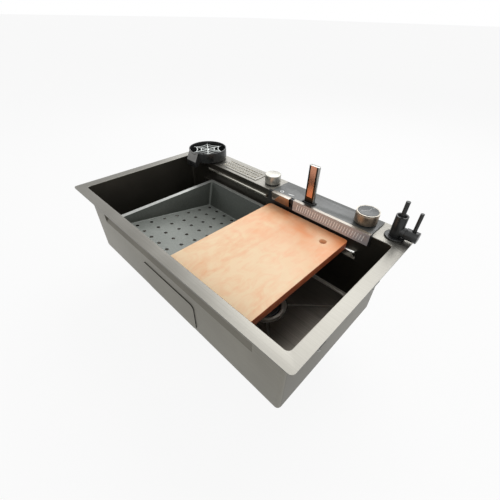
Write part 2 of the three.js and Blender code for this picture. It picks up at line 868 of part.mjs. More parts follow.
function buildRinser() {
  const group = assembly(rinserX, rinserY, rimTop);
  const foot = dishLift + dishFloor + seatGap;
  piece(group, 'rinser_body', dish(), blackMetal);
  piece(group, 'rinser_grid', pressGrid(), brightSteel);
  piece(group, 'rinser_nozzle', cut(
    joined(
      rod(nozzleBaseRadius, foot, foot + nozzleBaseHeight),
      rod(nozzleRadius, foot, gridLevel - nozzleDrop),
    ),
    rod(waterWay, 0, gridLevel, 0, 0, 12),
  ), blackPlastic);
  piece(group, 'rinser_spring', returnSpring(), brightSteel);
  piece(group, 'rinser_shank', cut(
    rod(rinserShankRadius, -rinserShankLength, dishLift + 0.9),
    rod(waterWay * 2, -rinserShankLength - 1, dishLift + 2, 0, 0, 12),
  ), brass);
  const nutTop = deckUnder - seatGap;
  const nut = hexNut(rinserNutRadius, rinserShankRadius + shankHole, nutTop - nutHeight, nutTop);
  piece(group, 'rinser_nut', nut, blackPlastic);
}

// ---------------------------------------------------------------- drip grille and its tray
function grille() {
  const halfX = grilleLength / 2;
  const halfY = grilleDepth / 2;
  const low = seatGap;
  const top = seatGap + grilleThickness;
  const skirt = { x: halfX - grilleLedge - seatGap, y: halfY - grilleLedge - seatGap };
  const plate = roundedSlab(-halfX, halfX, -halfY, halfY, low, top, grilleCorner);
  const outer = block(-skirt.x, skirt.x, -skirt.y, skirt.y, -grilleSkirtDepth, low + 0.5);
  const rib = trayWall;
  const inner = block(
    -skirt.x + rib, skirt.x - rib, -skirt.y + rib, skirt.y - rib, -grilleSkirtDepth - 1, low,
  );
  let body = joined(plate, cut(outer, inner));
  const rowPitch = grilleSlotWidth + grilleBar;
  for (let row = 0; row < grilleRows; row += 1) {
    for (let column = 0; column < grilleColumns; column += 1) {
      const x = (column - (grilleColumns - 1) / 2) * grillePitch;
      const y = (row - (grilleRows - 1) / 2) * rowPitch;
      body = cut(body, block(
        x - grilleSlotLength / 2, x + grilleSlotLength / 2, y - grilleSlotWidth / 2, y + grilleSlotWidth / 2,
        low - 0.5, top + 1,
      ));
    }
  }
  return body;
}

function dripTray() {
  const opening = grilleOpening(0);
  const halfX = (opening.x1 - opening.x0) / 2;
  const halfY = (opening.y1 - opening.y0) / 2;
  const top = deckUnder - seatGap;
  const low = top - trayDepth;
  const wide = block(
    -halfX - trayFlange, halfX + trayFlange, -halfY - trayFlange, halfY + trayFlange, top - trayWall, top,
  );
  const spoutX = halfX - traySpoutRadius * 2;
  return cut(
    joined(
      wide,
      block(
        -halfX - trayWall, halfX + trayWall, -halfY - trayWall, halfY + trayWall, low, top - trayWall / 2,
      ),
      rod(traySpoutRadius, low - 14, low + 1, spoutX, 0),
    ),
    block(-halfX, halfX, -halfY, halfY, low + trayWall, top + 1),
    rod(traySpoutRadius - trayWall, low - 15, low + 3, spoutX, 0),
  );
}

function buildGrille() {
  const group = assembly(grilleMiddleX, grilleMiddleY, rimTop);
  piece(group, 'drip_grille', grille(), gunmetal);
  piece(group, 'drip_tray', dripTray(), darkSteel);
}

// ---------------------------------------------------------------- left knob
// a turned knob with a chamfered top, its grip from one level to another
function knobGrip(radius, z0, z1) {
  return turned([
    [0, z0], [radius - knobChamfer / 2, z0], [radius, z0 + knobChamfer / 2],
    [radius, z1 - knobChamfer], [radius - knobChamfer, z1], [0, z1],
  ], bigSides);
}

function buildDrainKnob() {
  const group = assembly(drainKnobX, controlsY, rimTop);
  const baseTop = seatGap + knobBaseHeight;
  const grip = knobGrip(drainKnobRadius, baseTop + seatGap, baseTop + seatGap + drainKnobHeight);
  piece(group, 'drain_knob', joined(grip, rod(knobStemRadius, -knobSleeveLength, baseTop + 1)), brightSteel);
  piece(group, 'drain_knob_base', cut(
    joined(
      rod(knobBaseRadius, seatGap, baseTop, 0, 0, bigSides),
      rod(knobSleeveRadius, -knobSleeveLength, seatGap + 1),
    ),
    rod(knobStemRadius + seatGap, -knobSleeveLength - 1, baseTop + 1),
  ), blackMetal);
  const nutTop = deckUnder - seatGap;
  const nut = hexNut(knobNutRadius, knobSleeveRadius + shankHole, nutTop - nutHeight, nutTop);
  piece(group, 'drain_knob_nut', nut, greyPlastic);
}

// ---------------------------------------------------------------- glass panel
function buildPanel() {
  const group = assembly(0, 0, rimTop);
  const sleeve = wandSleeve(seatGap);
  piece(group, 'glass_panel', cut(
    roundedSlab(
      panelLeft, panelLeft + panelLength, panelFront, panelFront + panelDepth, seatGap, panelTop, panelCorner,
    ),
    rod(valveShankRadius + shankHole, 0, panelTop + 1, mixerKnobX, controlsY),
    block(wandX - sleeve.x, wandX + sleeve.x, wandY - sleeve.y, wandY + sleeve.y, 0, panelTop + 1),
  ), blackGlass);
}

// ---------------------------------------------------------------- right knob and its valve
function buildMixerKnob() {
  const group = assembly(mixerKnobX, controlsY, rimTop);
  const ringLow = panelTop + seatGap;
  const ringTop = ringLow + mixerRingHeight;
  const gripLow = ringTop + seatGap;
  const gripTop = gripLow + mixerKnobHeight;
  const trimLow = gripTop + seatGap;
  const ring = washer(mixerRingRadius, valveShankRadius + shankHole, ringLow, ringTop, bigSides);
  piece(group, 'mixer_knob_base', ring, blackMetal);
  piece(group, 'mixer_knob', cut(
    knobGrip(mixerKnobRadius, gripLow, gripTop),
    rod(valveStemRadius + seatGap, gripLow - 1, ringTop + valveStemHeight + seatGap),
  ), gunmetal);
  piece(group, 'mixer_knob_ring', washer(
    mixerKnobRadius, mixerKnobRadius - knobTrimWidth, trimLow, trimLow + knobTrimHeight, bigSides,
  ), brightSteel);
  piece(group, 'mixer_knob_glass', rod(
    mixerKnobRadius - knobTrimWidth - seatGap, trimLow, trimLow + knobGlassThickness, 0, 0, bigSides,
  ), blackGlass);
  const nutTop = deckUnder - seatGap;
  const bodyTop = nutTop - nutHeight - seatGap;
  const bodyLow = bodyTop - valveBodyHeight;
  const portLow = bodyLow - valvePortLength;
  const portX = [-valvePortRadius * 1.4, valvePortRadius * 1.4];
  const ports = portX.map((x) => rod(valvePortRadius, portLow, bodyLow + 1, x, 0));
  const bores = portX.map((x) => rod(valvePortRadius - valvePortWall, portLow - 1, bodyLow + 2, x, 0));
  piece(group, 'mixer_valve', cut(joined(
    rod(valveStemRadius, ringTop - 1, ringTop + valveStemHeight),
    rod(valveShankRadius, bodyTop - 1, ringTop),
    rod(valveBodyRadius, bodyLow, bodyTop, 0, 0, midSides),
    ...ports,
  ), ...bores), brass);
  const nut = hexNut(valveNutRadius, valveShankRadius + shankHole, nutTop - nutHeight, nutTop);
  piece(group, 'mixer_valve_nut', nut, brass);
}

// ---------------------------------------------------------------- outlets on the rear wall
const faceBack = innerBack - seatGap;
const faceFront = faceBack - housingFace;
const ledgeBack = panelFront - seatGap;
const chamberTop = rimTop - chamberDrop - seatGap;
const chamberLow = rimTop - chamberDrop - chamberHeight + seatGap;

function outletHousing() {
  const right = chamberLeft + chamberLength - seatGap;
  const left = chamberLeft + seatGap;
  const ledgeLow = rimTop + seatGap;
  const back = innerBack + chamberReach;
  const reachIn = back - chamberWall;
  const cavity = (x0, x1) => block(
    x0, x1, faceFront - 1, reachIn, chamberLow + chamberWall, chamberTop - chamberWall,
  );
  const inlets = [waterInletX, rainInletX];
  const elbow = { low: chamberLow - chamberWall, high: chamberLow + chamberWall * 2 };
  const ledgeTop = ledgeLow + housingLedge;
  const housingRight = housingLeft + housingLength;
  const face = block(housingLeft, housingRight, faceFront, faceBack, rimTop - housingDrop, ledgeTop);
  const ledge = block(housingLeft, housingRight, faceFront, ledgeBack, ledgeLow, ledgeTop);
  return cut(
    joined(
      face,
      ledge,
      block(left, right, faceBack - 0.1, back, chamberLow, chamberTop),
      ...inlets.map((x) => rod(inletRadius, chamberLow - inletLength, chamberLow + 2, x, back)),
    ),
    cavity(left + chamberWall, chamberSplitX - chamberWall / 2),
    cavity(chamberSplitX + chamberWall / 2, right - chamberWall),
    ...inlets.map((x) => rod(inletBore, chamberLow - inletLength - 1, elbow.low, x, back)),
    ...inlets.map((x) => rod(inletBore, elbow.low - chamberWall, elbow.high, x, reachIn)),
  );
}

function rainPlate() {
  const back = faceFront - seatGap;
  const front = back - rainSheet;
  const foldLow = rimTop + seatGap * 2 + housingLedge;
  const foldTop = foldLow + coverSheet;
  const right = rainLeft + rainLength;
  const sheet = block(rainLeft, right, front, back, rimTop - rainDrop, foldTop);
  let body = joined(sheet, block(rainLeft, right, front, ledgeBack, foldLow, foldTop));
  const first = (rainLeft + right) / 2 - ((rainSlots - 1) / 2) * rainSlotPitch;
  for (let i = 0; i < rainSlots; i += 1) {
    const x = first + i * rainSlotPitch;
    const high = rimTop - rainSlotTop;
    const low = high - rainSlotHeight;
    const half = rainSlotWidth / 2;
    const slot = new THREE.Shape();
    slot.moveTo(x - rainSlotLean / 2 - half, low);
    slot.lineTo(x - rainSlotLean / 2 + half, low);
    slot.lineTo(x + rainSlotLean / 2 + half, high);
    slot.lineTo(x + rainSlotLean / 2 - half, high);
    body = cut(body, plateAcrossY(slot, front - 1, back + 1));
  }
  return body;
}

function waterfallSpout() {
  const back = faceFront - seatGap;
  const foldLow = rimTop + seatGap * 2 + housingLedge;
  const top = foldLow + spoutSheet;
  const front = back - spoutReach;
  const low = rimTop - spoutDrop;
  const right = spoutLeft + spoutLength;
  const foot = back - spoutFoot - spoutSheet;
  const outline = [[back, low], [back, top], [front, top], [front, top - spoutSheet], [foot, low]];
  const outer = barAlongX(outline, spoutLeft, right);
  const roof = foldLow - spoutSheet / 2;
  const inner = barAlongX([
    [back - spoutSheet, low - 1], [back - spoutSheet, roof], [front + spoutSheet * 1.2, roof],
    [foot + spoutSheet, low - 1],
  ], spoutLeft + spoutSheet * 1.5, right - spoutSheet * 1.5);
  const fold = block(spoutLeft, right, back - 1, ledgeBack, foldLow, top);
  const windowTop = chamberTop - chamberWall;
  const windowLow = windowTop - spoutWindowHeight;
  const inlet = block(
    chamberLeft + chamberWall * 3, right - spoutSheet * 4, back - 2, back + 1, windowLow, windowTop,
  );
  return cut(joined(outer, fold), inner, inlet);
}

function buildOutlets() {
  const group = assembly();
  piece(group, 'outlet_housing', outletHousing(), blackPlastic);
  piece(group, 'rain_plate', rainPlate(), brightSteel);
  piece(group, 'waterfall_spout', waterfallSpout(), brightSteel);
}

// ---------------------------------------------------------------- pull-out spray wand
function chamferedBox(halfX, halfY, chamfer, z0, z1) {
  const shape = new THREE.Shape();
  shape.moveTo(-halfX + chamfer, -halfY);
  shape.lineTo(halfX - chamfer, -halfY);
  shape.lineTo(halfX, -halfY + chamfer);
  shape.lineTo(halfX, halfY - chamfer);
  shape.lineTo(halfX - chamfer, halfY);
  shape.lineTo(-halfX + chamfer, halfY);
  shape.lineTo(-halfX, halfY - chamfer);
  shape.lineTo(-halfX, -halfY + chamfer);
  return slab(shape, z0, z1);
}

function buildWand() {
  const group = assembly(wandX, wandY, rimTop);
  const outer = wandSleeve(0);
  const inner = { x: outer.x - collarWall, y: outer.y - collarWall };
  const hollow = block(-inner.x, inner.x, -inner.y, inner.y, -collarSleeveLength - 1, wandHeight);
  const nipple = rod(wandNippleRadius, -wandBelow - wandNippleLength, -wandBelow + 1);
  const waterway = rod(wandNippleBore, -wandBelow - wandNippleLength - 1, -wandBelow + 8, 0, 0, 12);
  piece(group, 'wand_body', cut(
    joined(chamferedBox(wandWidth / 2, wandThickness / 2, wandChamfer, -wandBelow, wandHeight), nipple),
    waterway,
  ), brightSteel);
  const brimLow = panelTop + seatGap;
  const brim = { x: outer.x + collarBrim, y: outer.y + collarBrim };
  piece(group, 'wand_collar', cut(joined(
    block(-brim.x, brim.x, -brim.y, brim.y, brimLow, brimLow + collarHeight),
    block(-outer.x, outer.x, -outer.y, outer.y, -collarSleeveLength, brimLow + 1),
  ), hollow), blackPlastic);
  const nutTop = deckUnder - seatGap;
  const hole = wandSleeve(seatGap);
  const nutX = hole.x + wandNutBrim;
  piece(group, 'wand_nut', cut(
    block(-nutX, nutX, -hole.y - wandNutLip, hole.y + wandNutBrim, nutTop - nutHeight, nutTop),
    block(-hole.x, hole.x, -hole.y, hole.y, nutTop - nutHeight - 1, nutTop + 1),
  ), greyPlastic);
}

// ---------------------------------------------------------------- two-lever tap
function buildTap() {
  const group = assembly(tapX, tapY, rimTop);
  const flangeTop = seatGap + tapFlangeHeight;
  piece(group, 'tap_flange', cut(turned([
    [0, seatGap], [tapFlangeRadius, seatGap], [tapFlangeRadius, flangeTop - 0.8],
    [tapFlangeRadius - 0.8, flangeTop], [0, flangeTop],
  ]), rod(tapShankRadius + shankHole, 0, flangeTop + 1)), blackMetal);
  const bodyLow = flangeTop + seatGap;
  const ballZ = tapHeight - topBallDrop;
  const socket = topBallRadius + seatGap;
  const socketCut = turned([
    [0, ballZ - socket], [socket, ballZ - socket], [socket, ballZ],
    [socket + topSocketFlare, tapHeight + 0.1], [0, tapHeight + 0.1],
  ], smallSides);
  const stubBore = sideSpigotRadius + seatGap;
  const spigotIn = tapStubReach - sideSpigotLength;
  piece(group, 'tap_body', cut(
    joined(
      rod(tapRadius, bodyLow, tapHeight, 0, 0, bigSides),
      rod(tapShankRadius, -tapShankLength, bodyLow + 1),
      rodAlongX(tapStubRadius, 0, tapStubReach, 0, tapSideLevel, midSides),
    ),
    socketCut,
    rodAlongX(stubBore, spigotIn - seatGap, tapStubReach + 1, 0, tapSideLevel),
    rod(tapBore, -tapShankLength - 1, bodyLow + 2, 0, 0, 16),
  ), blackMetal);
  const ball = new THREE.SphereGeometry(topBallRadius, 20, 12).rotateX(Math.PI / 2).translate(0, 0, ballZ);
  piece(group, 'tap_top_pin', joined(solidOf(ball), rod(topPinRadius, ballZ, topPinHeight)), blackMetal);
  const capLeft = tapStubReach + seatGap;
  const rootLow = tapSideLevel + sideCapRadius - sidePinRoot;
  piece(group, 'tap_side_cap', cut(
    joined(
      rodAlongX(sideCapRadius, capLeft, capLeft + sideCapLength, 0, tapSideLevel, bigSides),
      rodAlongX(sideSpigotRadius, spigotIn, capLeft + 1, 0, tapSideLevel),
    ),
    rod(sidePinRadius + seatGap, rootLow - seatGap, tapHeight, sidePinX, 0),
  ), blackMetal);
  piece(group, 'tap_side_pin', rod(sidePinRadius, rootLow, sidePinTop, sidePinX, 0), blackMetal);
  const nutTop = deckUnder - seatGap;
  const nut = hexNut(tapNutRadius, tapShankRadius + shankHole, nutTop - nutHeight, nutTop);
  piece(group, 'tap_nut', nut, brass);
}

// ---------------------------------------------------------------- colander and cutting board
function colander() {
  const right = colanderLeft + colanderWidth;
  const front = innerFront + slideGap;
  const back = innerBack - slideGap;
  const low = restTop + seatGap;
  const top = low + colanderSheet;
  const middleY = (front + back) / 2;
  const floorAt = (y) => low - basketMidDepth - basketFloorSlope * (y - middleY);
  const x0 = colanderLeft + colanderSideFlange;
  const x1 = right - colanderSideFlange;
  const y0 = front + colanderEndFlange;
  const y1 = back - colanderEndFlange;
  const basket = (grow, drop) => {
    const ring = (draw, inset, lift) => outlineRing(
      x0 + basketSideDraw * draw + inset - grow,
      x1 - basketSideDraw * draw - inset + grow,
      y0 + basketFrontDraw * draw + inset - grow,
      y1 - basketRearDraw * draw - inset + grow,
      basketCorner - inset + grow,
      lift,
    );
    const bend = basketFloorRadius;
    return [
      ring(1, bend, (x, y) => floorAt(y) - drop),
      ring(1, bend * 0.3, (x, y) => floorAt(y) - drop + bend * 0.3),
      ring(0.93, 0, (x, y) => floorAt(y) - drop + bend),
    ].concat([ring(0, 0, () => (grow > 0 ? low + colanderSheet / 2 : top + 1))]);
  };
  const flange = roundedSlab(colanderLeft, right, front, back, low, top, colanderCorner);
  let body = cut(joined(flange, loft(basket(colanderSheet, colanderSheet))), loft(basket(0, 0)));
  const firstX = (x0 + x1) / 2 - ((drainHoleColumns - 1) / 2) * drainHolePitchX;
  const floorMiddle = (y0 + basketFrontDraw + y1 - basketRearDraw) / 2;
  const firstY = floorMiddle - ((drainHoleRows - 1) / 2) * drainHolePitchY;
  for (let column = 0; column < drainHoleColumns; column += 1) {
    for (let row = 0; row < drainHoleRows; row += 1) {
      const x = firstX + column * drainHolePitchX;
      const y = firstY + row * drainHolePitchY;
      body = cut(body, rod(drainHoleRadius, floorAt(y) - 6, floorAt(y) + 4, x, y, 10));
    }
  }
  return body;
}

function cuttingBoard() {
  const low = restTop + seatGap;
  const right = boardLeft + boardWidth;
  const back = innerBack - slideGap;
  const top = low + boardThickness;
  const holeX = right - boardHoleFromRight;
  const holeY = back - boardHoleFromRear;
  return cut(
    roundedSlab(boardLeft, right, innerFront + slideGap, back, low, top, boardCorner),
    rod(boardHoleRadius, low - 1, top + 1, holeX, holeY, midSides),
  );
}

function buildAccessories() {
  const group = assembly();
  piece(group, 'colander', colander(), darkSteel);
  piece(group, 'cutting_board', cuttingBoard(), board);
}

// ---------------------------------------------------------------- drain and tailpiece
const drainFlangeLow = seatGap - drainRecess;
const drainUnder = -drainRecess - wall;
const skirtBore = drainSkirtRadius + seatGap;
const cupTop = drainUnder - seatGap * 3 - drainGasketThickness - drainNutHeight;
const cupOuter = skirtBore + drainCupWall;
const cupLow = cupTop - drainCupDepth;
const pipeSocketRadius = overflowPipeRadius + seatGap + overflowSocketWall;
const neckLow = cupLow - drainNeckLength;

function drainFlange() {
  const top = drainFlangeLow + drainFlangeThickness;
  const skirtLow = drainFlangeLow - drainSkirtLength;
  const mouth = drainSkirtRadius - drainSkirtWall;
  const radius = drainFlangeRadius;
  return turned([
    [mouth, skirtLow], [drainSkirtRadius, skirtLow], [drainSkirtRadius, drainFlangeLow],
    [radius, drainFlangeLow], [radius, top - 1], [radius - 1, top], [radius - 4, top],
    [radius - 5.5, top - 1.2], [radius - 8, top - 1.2], [radius - 9.5, top], [mouth + 1.5, top],
    [mouth, top - 1.5], [mouth, skirtLow],
  ], bigSides);
}

function drainCup() {
  const bridgeTop = cupTop - drainSkirtLength + 9;
  const portZ = -overflowPortDrop;
  const socketEnd = cupOuter + overflowSocketLength;
  const shaft = drainCoverStemRadius + seatGap;
  const bridgeLow = bridgeTop - drainBridgeHeight;
  const bridge = block(
    -cupOuter + 1, cupOuter - 1, -drainBridgeWidth / 2, drainBridgeWidth / 2, bridgeLow, bridgeTop,
  );
  const cup = cut(
    joined(
      rod(cupOuter, cupLow, cupTop, 0, 0, bigSides),
      rod(drainNeckRadius, neckLow, cupLow + 1, 0, 0, midSides),
      rodAlongY(pipeSocketRadius, cupOuter - 6, socketEnd, 0, portZ),
    ),
    rod(skirtBore, cupLow + drainCupFloor, cupTop + 1, 0, 0, bigSides),
    rod(tailRadius - tailWall, neckLow - 1, cupTop, 0, 0, midSides),
    rod(tailRadius + seatGap, neckLow - 1, neckLow + tailSeat + seatGap, 0, 0, midSides),
    rodAlongY(overflowPipeBore, cupOuter - 12, socketEnd, 0, portZ),
    rodAlongY(overflowPipeRadius + seatGap, cupOuter + 1, socketEnd + 1, 0, portZ),
  );
  return cut(joined(cup, bridge), rod(shaft, bridgeLow - 1, bridgeTop + 1));
}

function buildDrain() {
  const group = assembly(drainX, drainY, floorTop);
  const coverTop = drainFlangeLow + drainFlangeThickness + 1;
  const coverLow = coverTop - drainCoverThickness;
  piece(group, 'drain_flange', drainFlange(), brightSteel);
  piece(group, 'drain_cover', joined(
    turned([
      [0, coverLow], [drainCoverRadius, coverLow], [drainCoverRadius, coverTop - 1.2],
      [drainCoverRadius - 1.5, coverTop - 0.3], [0, coverTop],
    ], bigSides),
    rod(drainCoverStemRadius, coverLow - drainCoverStemLength, coverLow + 1),
  ), darkSteel);
  const gasketTop = drainUnder - seatGap;
  const gasketLow = gasketTop - drainGasketThickness;
  const gasket = washer(skirtBore + drainGasketWidth, skirtBore, gasketLow, gasketTop, bigSides);
  piece(group, 'drain_gasket', gasket, blackPlastic);
  const nutTop = gasketLow - seatGap;
  const nut = washer(skirtBore + drainNutWidth, skirtBore, nutTop - drainNutHeight, nutTop, bigSides);
  piece(group, 'drain_nut', nut, greyPlastic);
  piece(group, 'drain_body', drainCup(), greyPlastic);
  const tailTop = neckLow + tailSeat;
  const tail = washer(tailRadius, tailRadius - tailWall, tailTop - tailLength, tailTop, midSides);
  piece(group, 'tailpiece', tail, greyPlastic);
}

// ---------------------------------------------------------------- overflow
const overflowBoxFront = innerBack + wall + seatGap;
const overflowPipeY = overflowBoxFront + overflowBoxDepth / 2;
const overflowBoxLow = overflowLevel - overflowHeight / 2 - overflowBoxWall * 2;

function overflowCover() {
  const back = innerBack - seatGap;
  const plate = roundedOutline(...overflowOutline(0), overflowHeight / 2);
  const slot = roundedOutline(...overflowOutline(-overflowHoleInset), overflowHeight / 2 - overflowHoleInset);
  return cut(
    plateAcrossY(plate, back - overflowCoverSheet, back),
    plateAcrossY(slot, back - overflowCoverSheet - 1, back + 1),
  );
}

function overflowElbow() {
  const [left, right, , high] = overflowOutline(overflowBoxWall);
  const back = overflowBoxFront + overflowBoxDepth;
  const low = overflowBoxLow;
  const socketLow = low - overflowSocketLength;
  return cut(
    joined(
      block(left, right, overflowBoxFront, back, low, high),
      rod(pipeSocketRadius, socketLow, low + 1, drainX, overflowPipeY),
    ),
    block(left + overflowBoxWall, right - overflowBoxWall, overflowBoxFront - 1, back - overflowBoxWall,
      low + overflowBoxWall, high - overflowBoxWall),
    rod(overflowPipeBore, socketLow - 1, low + overflowBoxWall * 2, drainX, overflowPipeY),
    rod(overflowPipeRadius + seatGap, socketLow - 1, low - 1, drainX, overflowPipeY),
  );
}

function overflowPipe() {
  const top = overflowBoxLow - 1 - seatGap;
  const level = floorTop - overflowPortDrop;
  const frontEnd = drainY + cupOuter + 1 + seatGap;
  const path = new THREE.CurvePath();
  const corner = new THREE.Vector3(drainX, overflowPipeY, level);
  const above = new THREE.Vector3(drainX, overflowPipeY, level + overflowBend);
  const ahead = new THREE.Vector3(drainX, overflowPipeY - overflowBend, level);
  path.add(new THREE.LineCurve3(new THREE.Vector3(drainX, overflowPipeY, top), above));
  path.add(new THREE.QuadraticBezierCurve3(above, corner, ahead));
  path.add(new THREE.LineCurve3(ahead, new THREE.Vector3(drainX, frontEnd, level)));
  const section = new THREE.Shape().absarc(0, 0, overflowPipeRadius, 0, Math.PI * 2);
  section.holes.push(new THREE.Path().absarc(0, 0, overflowPipeBore, 0, Math.PI * 2, true));
  return solidOf(new THREE.ExtrudeGeometry(section, { steps: 18, extrudePath: path, curveSegments: 6 }));
}

function buildOverflow() {
  const group = assembly();
  piece(group, 'overflow_cover', overflowCover(), brightSteel);
  piece(group, 'overflow_elbow', overflowElbow(), greyPlastic);
  piece(group, 'overflow_pipe', overflowPipe(), greyPlastic);
}

// ---------------------------------------------------------------- worktop clips
function buildClips() {
  const back = innerRight + wall + seatGap;
  const sheetOut = back + clipSheet;
  const top = rimTop - clipTopDrop;
  const low = top - clipHeight;
  const screwX = sheetOut + clipFoot / 2;
  for (const [end, y] of [['front', clipFront], ['rear', clipRear]]) {
    for (const [side, sign] of [['left', -1], ['right', 1]]) {
      const group = assembly(0, y, 0);
      const half = clipWidth / 2;
      const bracket = cut(
        joined(
          block(back, sheetOut, -half, half, low, top),
          block(sheetOut - 0.1, sheetOut + clipFoot, -half, half, low, low + clipSheet),
        ),
        rod(clipScrewRadius + seatGap, low - 1, low + clipSheet + 1, screwX, 0),
      );
      const headLow = low - clipScrewLength / 2;
      const screw = joined(
        rod(clipScrewRadius, headLow, headLow + clipScrewLength, screwX, 0, 16),
        rod(clipHeadRadius, headLow - clipHeadHeight, headLow + 0.1, screwX, 0, 16),
      );
      const placed = (solid) => (sign < 0 ? solid.mirror([1, 0, 0]) : solid);
      piece(group, `clip_${end}_${side}`, placed(bracket), darkSteel);
      piece(group, `clip_screw_${end}_${side}`, placed(screw), brightSteel);
    }
  }
}

buildShell();
buildRinser();
buildGrille();
buildDrainKnob();
buildPanel();
buildMixerKnob();
buildOutlets();
buildWand();
buildTap();
buildAccessories();
buildDrain();
buildOverflow();
buildClips();

export default sink;
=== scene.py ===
"""Looks of a workstation kitchen sink: a steel bowl with its deck fittings, colander and cutting board."""

import json
import logging
import math
from collections.abc import Callable
from dataclasses import dataclass
from enum import Enum, IntEnum

import bmesh
import bpy
from mathutils import Euler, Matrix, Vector

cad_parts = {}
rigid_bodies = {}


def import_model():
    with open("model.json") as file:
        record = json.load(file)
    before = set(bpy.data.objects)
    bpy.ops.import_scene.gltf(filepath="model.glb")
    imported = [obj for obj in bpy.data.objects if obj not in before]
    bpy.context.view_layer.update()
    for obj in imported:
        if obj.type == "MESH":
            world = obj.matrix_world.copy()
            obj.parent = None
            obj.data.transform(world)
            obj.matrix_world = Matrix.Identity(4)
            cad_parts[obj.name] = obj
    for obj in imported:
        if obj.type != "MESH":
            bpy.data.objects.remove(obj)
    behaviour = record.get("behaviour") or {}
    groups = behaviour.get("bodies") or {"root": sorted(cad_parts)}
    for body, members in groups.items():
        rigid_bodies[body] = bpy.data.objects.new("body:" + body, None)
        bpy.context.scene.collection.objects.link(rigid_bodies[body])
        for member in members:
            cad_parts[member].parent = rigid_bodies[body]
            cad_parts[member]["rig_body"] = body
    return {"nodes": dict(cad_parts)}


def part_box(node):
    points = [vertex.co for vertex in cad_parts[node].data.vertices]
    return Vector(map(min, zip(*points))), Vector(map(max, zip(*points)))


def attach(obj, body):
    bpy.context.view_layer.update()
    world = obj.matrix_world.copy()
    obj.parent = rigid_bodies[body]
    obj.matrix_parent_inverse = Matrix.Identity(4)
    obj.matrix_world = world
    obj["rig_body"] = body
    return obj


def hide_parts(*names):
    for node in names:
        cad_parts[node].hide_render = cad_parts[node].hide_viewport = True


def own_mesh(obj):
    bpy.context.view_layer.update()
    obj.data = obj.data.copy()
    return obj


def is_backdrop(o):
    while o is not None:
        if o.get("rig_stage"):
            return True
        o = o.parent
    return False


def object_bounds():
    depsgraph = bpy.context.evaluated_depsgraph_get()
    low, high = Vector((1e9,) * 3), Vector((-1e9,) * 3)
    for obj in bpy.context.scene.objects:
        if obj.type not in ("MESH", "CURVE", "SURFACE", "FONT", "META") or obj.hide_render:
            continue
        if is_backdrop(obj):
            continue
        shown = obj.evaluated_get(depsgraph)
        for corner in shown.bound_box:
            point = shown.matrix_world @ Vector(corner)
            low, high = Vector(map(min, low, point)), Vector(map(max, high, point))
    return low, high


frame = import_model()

LOG = logging.getLogger("sink")
MM = 0.001
BMesh = bmesh.types.BMesh
Tree = bpy.types.NodeTree
Socket = bpy.types.NodeSocket
Colour = tuple[float, float, float, float]

EVEN = (1.0, 1.0, 1.0)
NOISE_RANGE = (0.3, 0.7)
DOT = 0.00001
WELD = 0.000004
TOUCH = 0.000001
FLAT_ANGLE = math.radians(0.4)
SHARP_ANGLE = math.radians(40.0)
PLAIN_SMOOTH = 35.0
ZONED_SMOOTH = 30.0

# Share of a face's normal along an axis, from which the face counts as turned that way.
FACING = 0.9
MOSTLY = 0.7
HALFWAY = 0.5
LEANING = 0.3
BARELY = 0.2


class Grain(Enum):
    """Which way the fine lines of a brushed finish run."""

    ALONG_X = (0.6, 90.0, 90.0)
    ALONG_Z = (90.0, 90.0, 0.6)
    NONE = (22.0, 22.0, 22.0)


class Ease(float, Enum):
    """How far the edges of a piece are rounded, in metres."""

    NONE = 0.0
    CRISP = 0.0002
    FINE = 0.0003
    FOLDED = 0.00035
    SOFT = 0.0004
    CAST = 0.0005
    PAD = 0.0006
    DISH = 0.0012
    BOARD = 0.0018


def mm(*values: float) -> Vector:
    """A point given in millimetres.

    Args:
        values: x, y and z in millimetres.

    Returns:
        The point in metres.
    """
    return Vector([value * MM for value in values])


def srgb(red: float, green: float, blue: float) -> Colour:
    """A colour on a scale of 0 to 255, turned by the sRGB curve into the shader's linear values.

    Args:
        red: Red share.
        green: Green share.
        blue: Blue share.

    Returns:
        Linear red, green, blue and a full alpha.
    """
    shares = [value / 255.0 for value in (red, green, blue)]
    linear = [s / 12.92 if s <= 0.04045 else ((s + 0.055) / 1.055) ** 2.4 for s in shares]
    return (linear[0], linear[1], linear[2], 1.0)


# ------------------------------------------------------------------ shared shader groups
def new_group(name: str, inputs: dict[str, tuple[str, float]], outputs: dict[str, str]) -> Tree:
    """A shader node group with named sockets.

    Args:
        name: Name of the group.
        inputs: Socket name to its type and default value.
        outputs: Socket name to its type.

    Returns:
        The node tree, with its input and output nodes placed.
    """
    tree = bpy.data.node_groups.new(name, "ShaderNodeTree")
    for socket, (kind, default) in inputs.items():
        made = tree.interface.new_socket(socket, in_out="INPUT", socket_type=kind)
        if kind == "NodeSocketFloat":
            made.default_value = default
    for socket, kind in outputs.items():
        tree.interface.new_socket(socket, in_out="OUTPUT", socket_type=kind)
    tree.nodes.new("NodeGroupInput")
    tree.nodes.new("NodeGroupOutput")
    return tree


def feed(tree: Tree, value: Socket | float, target: Socket) -> None:
    """Gives a node's input a socket to read, or a number.

    Args:
        tree: The tree that both are in.
        value: A socket or a number.
        target: The input.
    """
    if isinstance(value, Socket):
        tree.links.new(value, target)
    else:
        target.default_value = value


def math_node(tree: Tree, operation: str, first: Socket | float, second: Socket | float) -> Socket:
    """Two values joined by a math node.

    Args:
        tree: The tree to add it to.
        operation: Name of the math operation.
        first: A socket or a number.
        second: A socket or a number.

    Returns:
        The socket that holds the result.
    """
    node = tree.nodes.new("ShaderNodeMath")
    node.operation = operation
    feed(tree, first, node.inputs[0])
    feed(tree, second, node.inputs[1])
    return node.outputs[0]


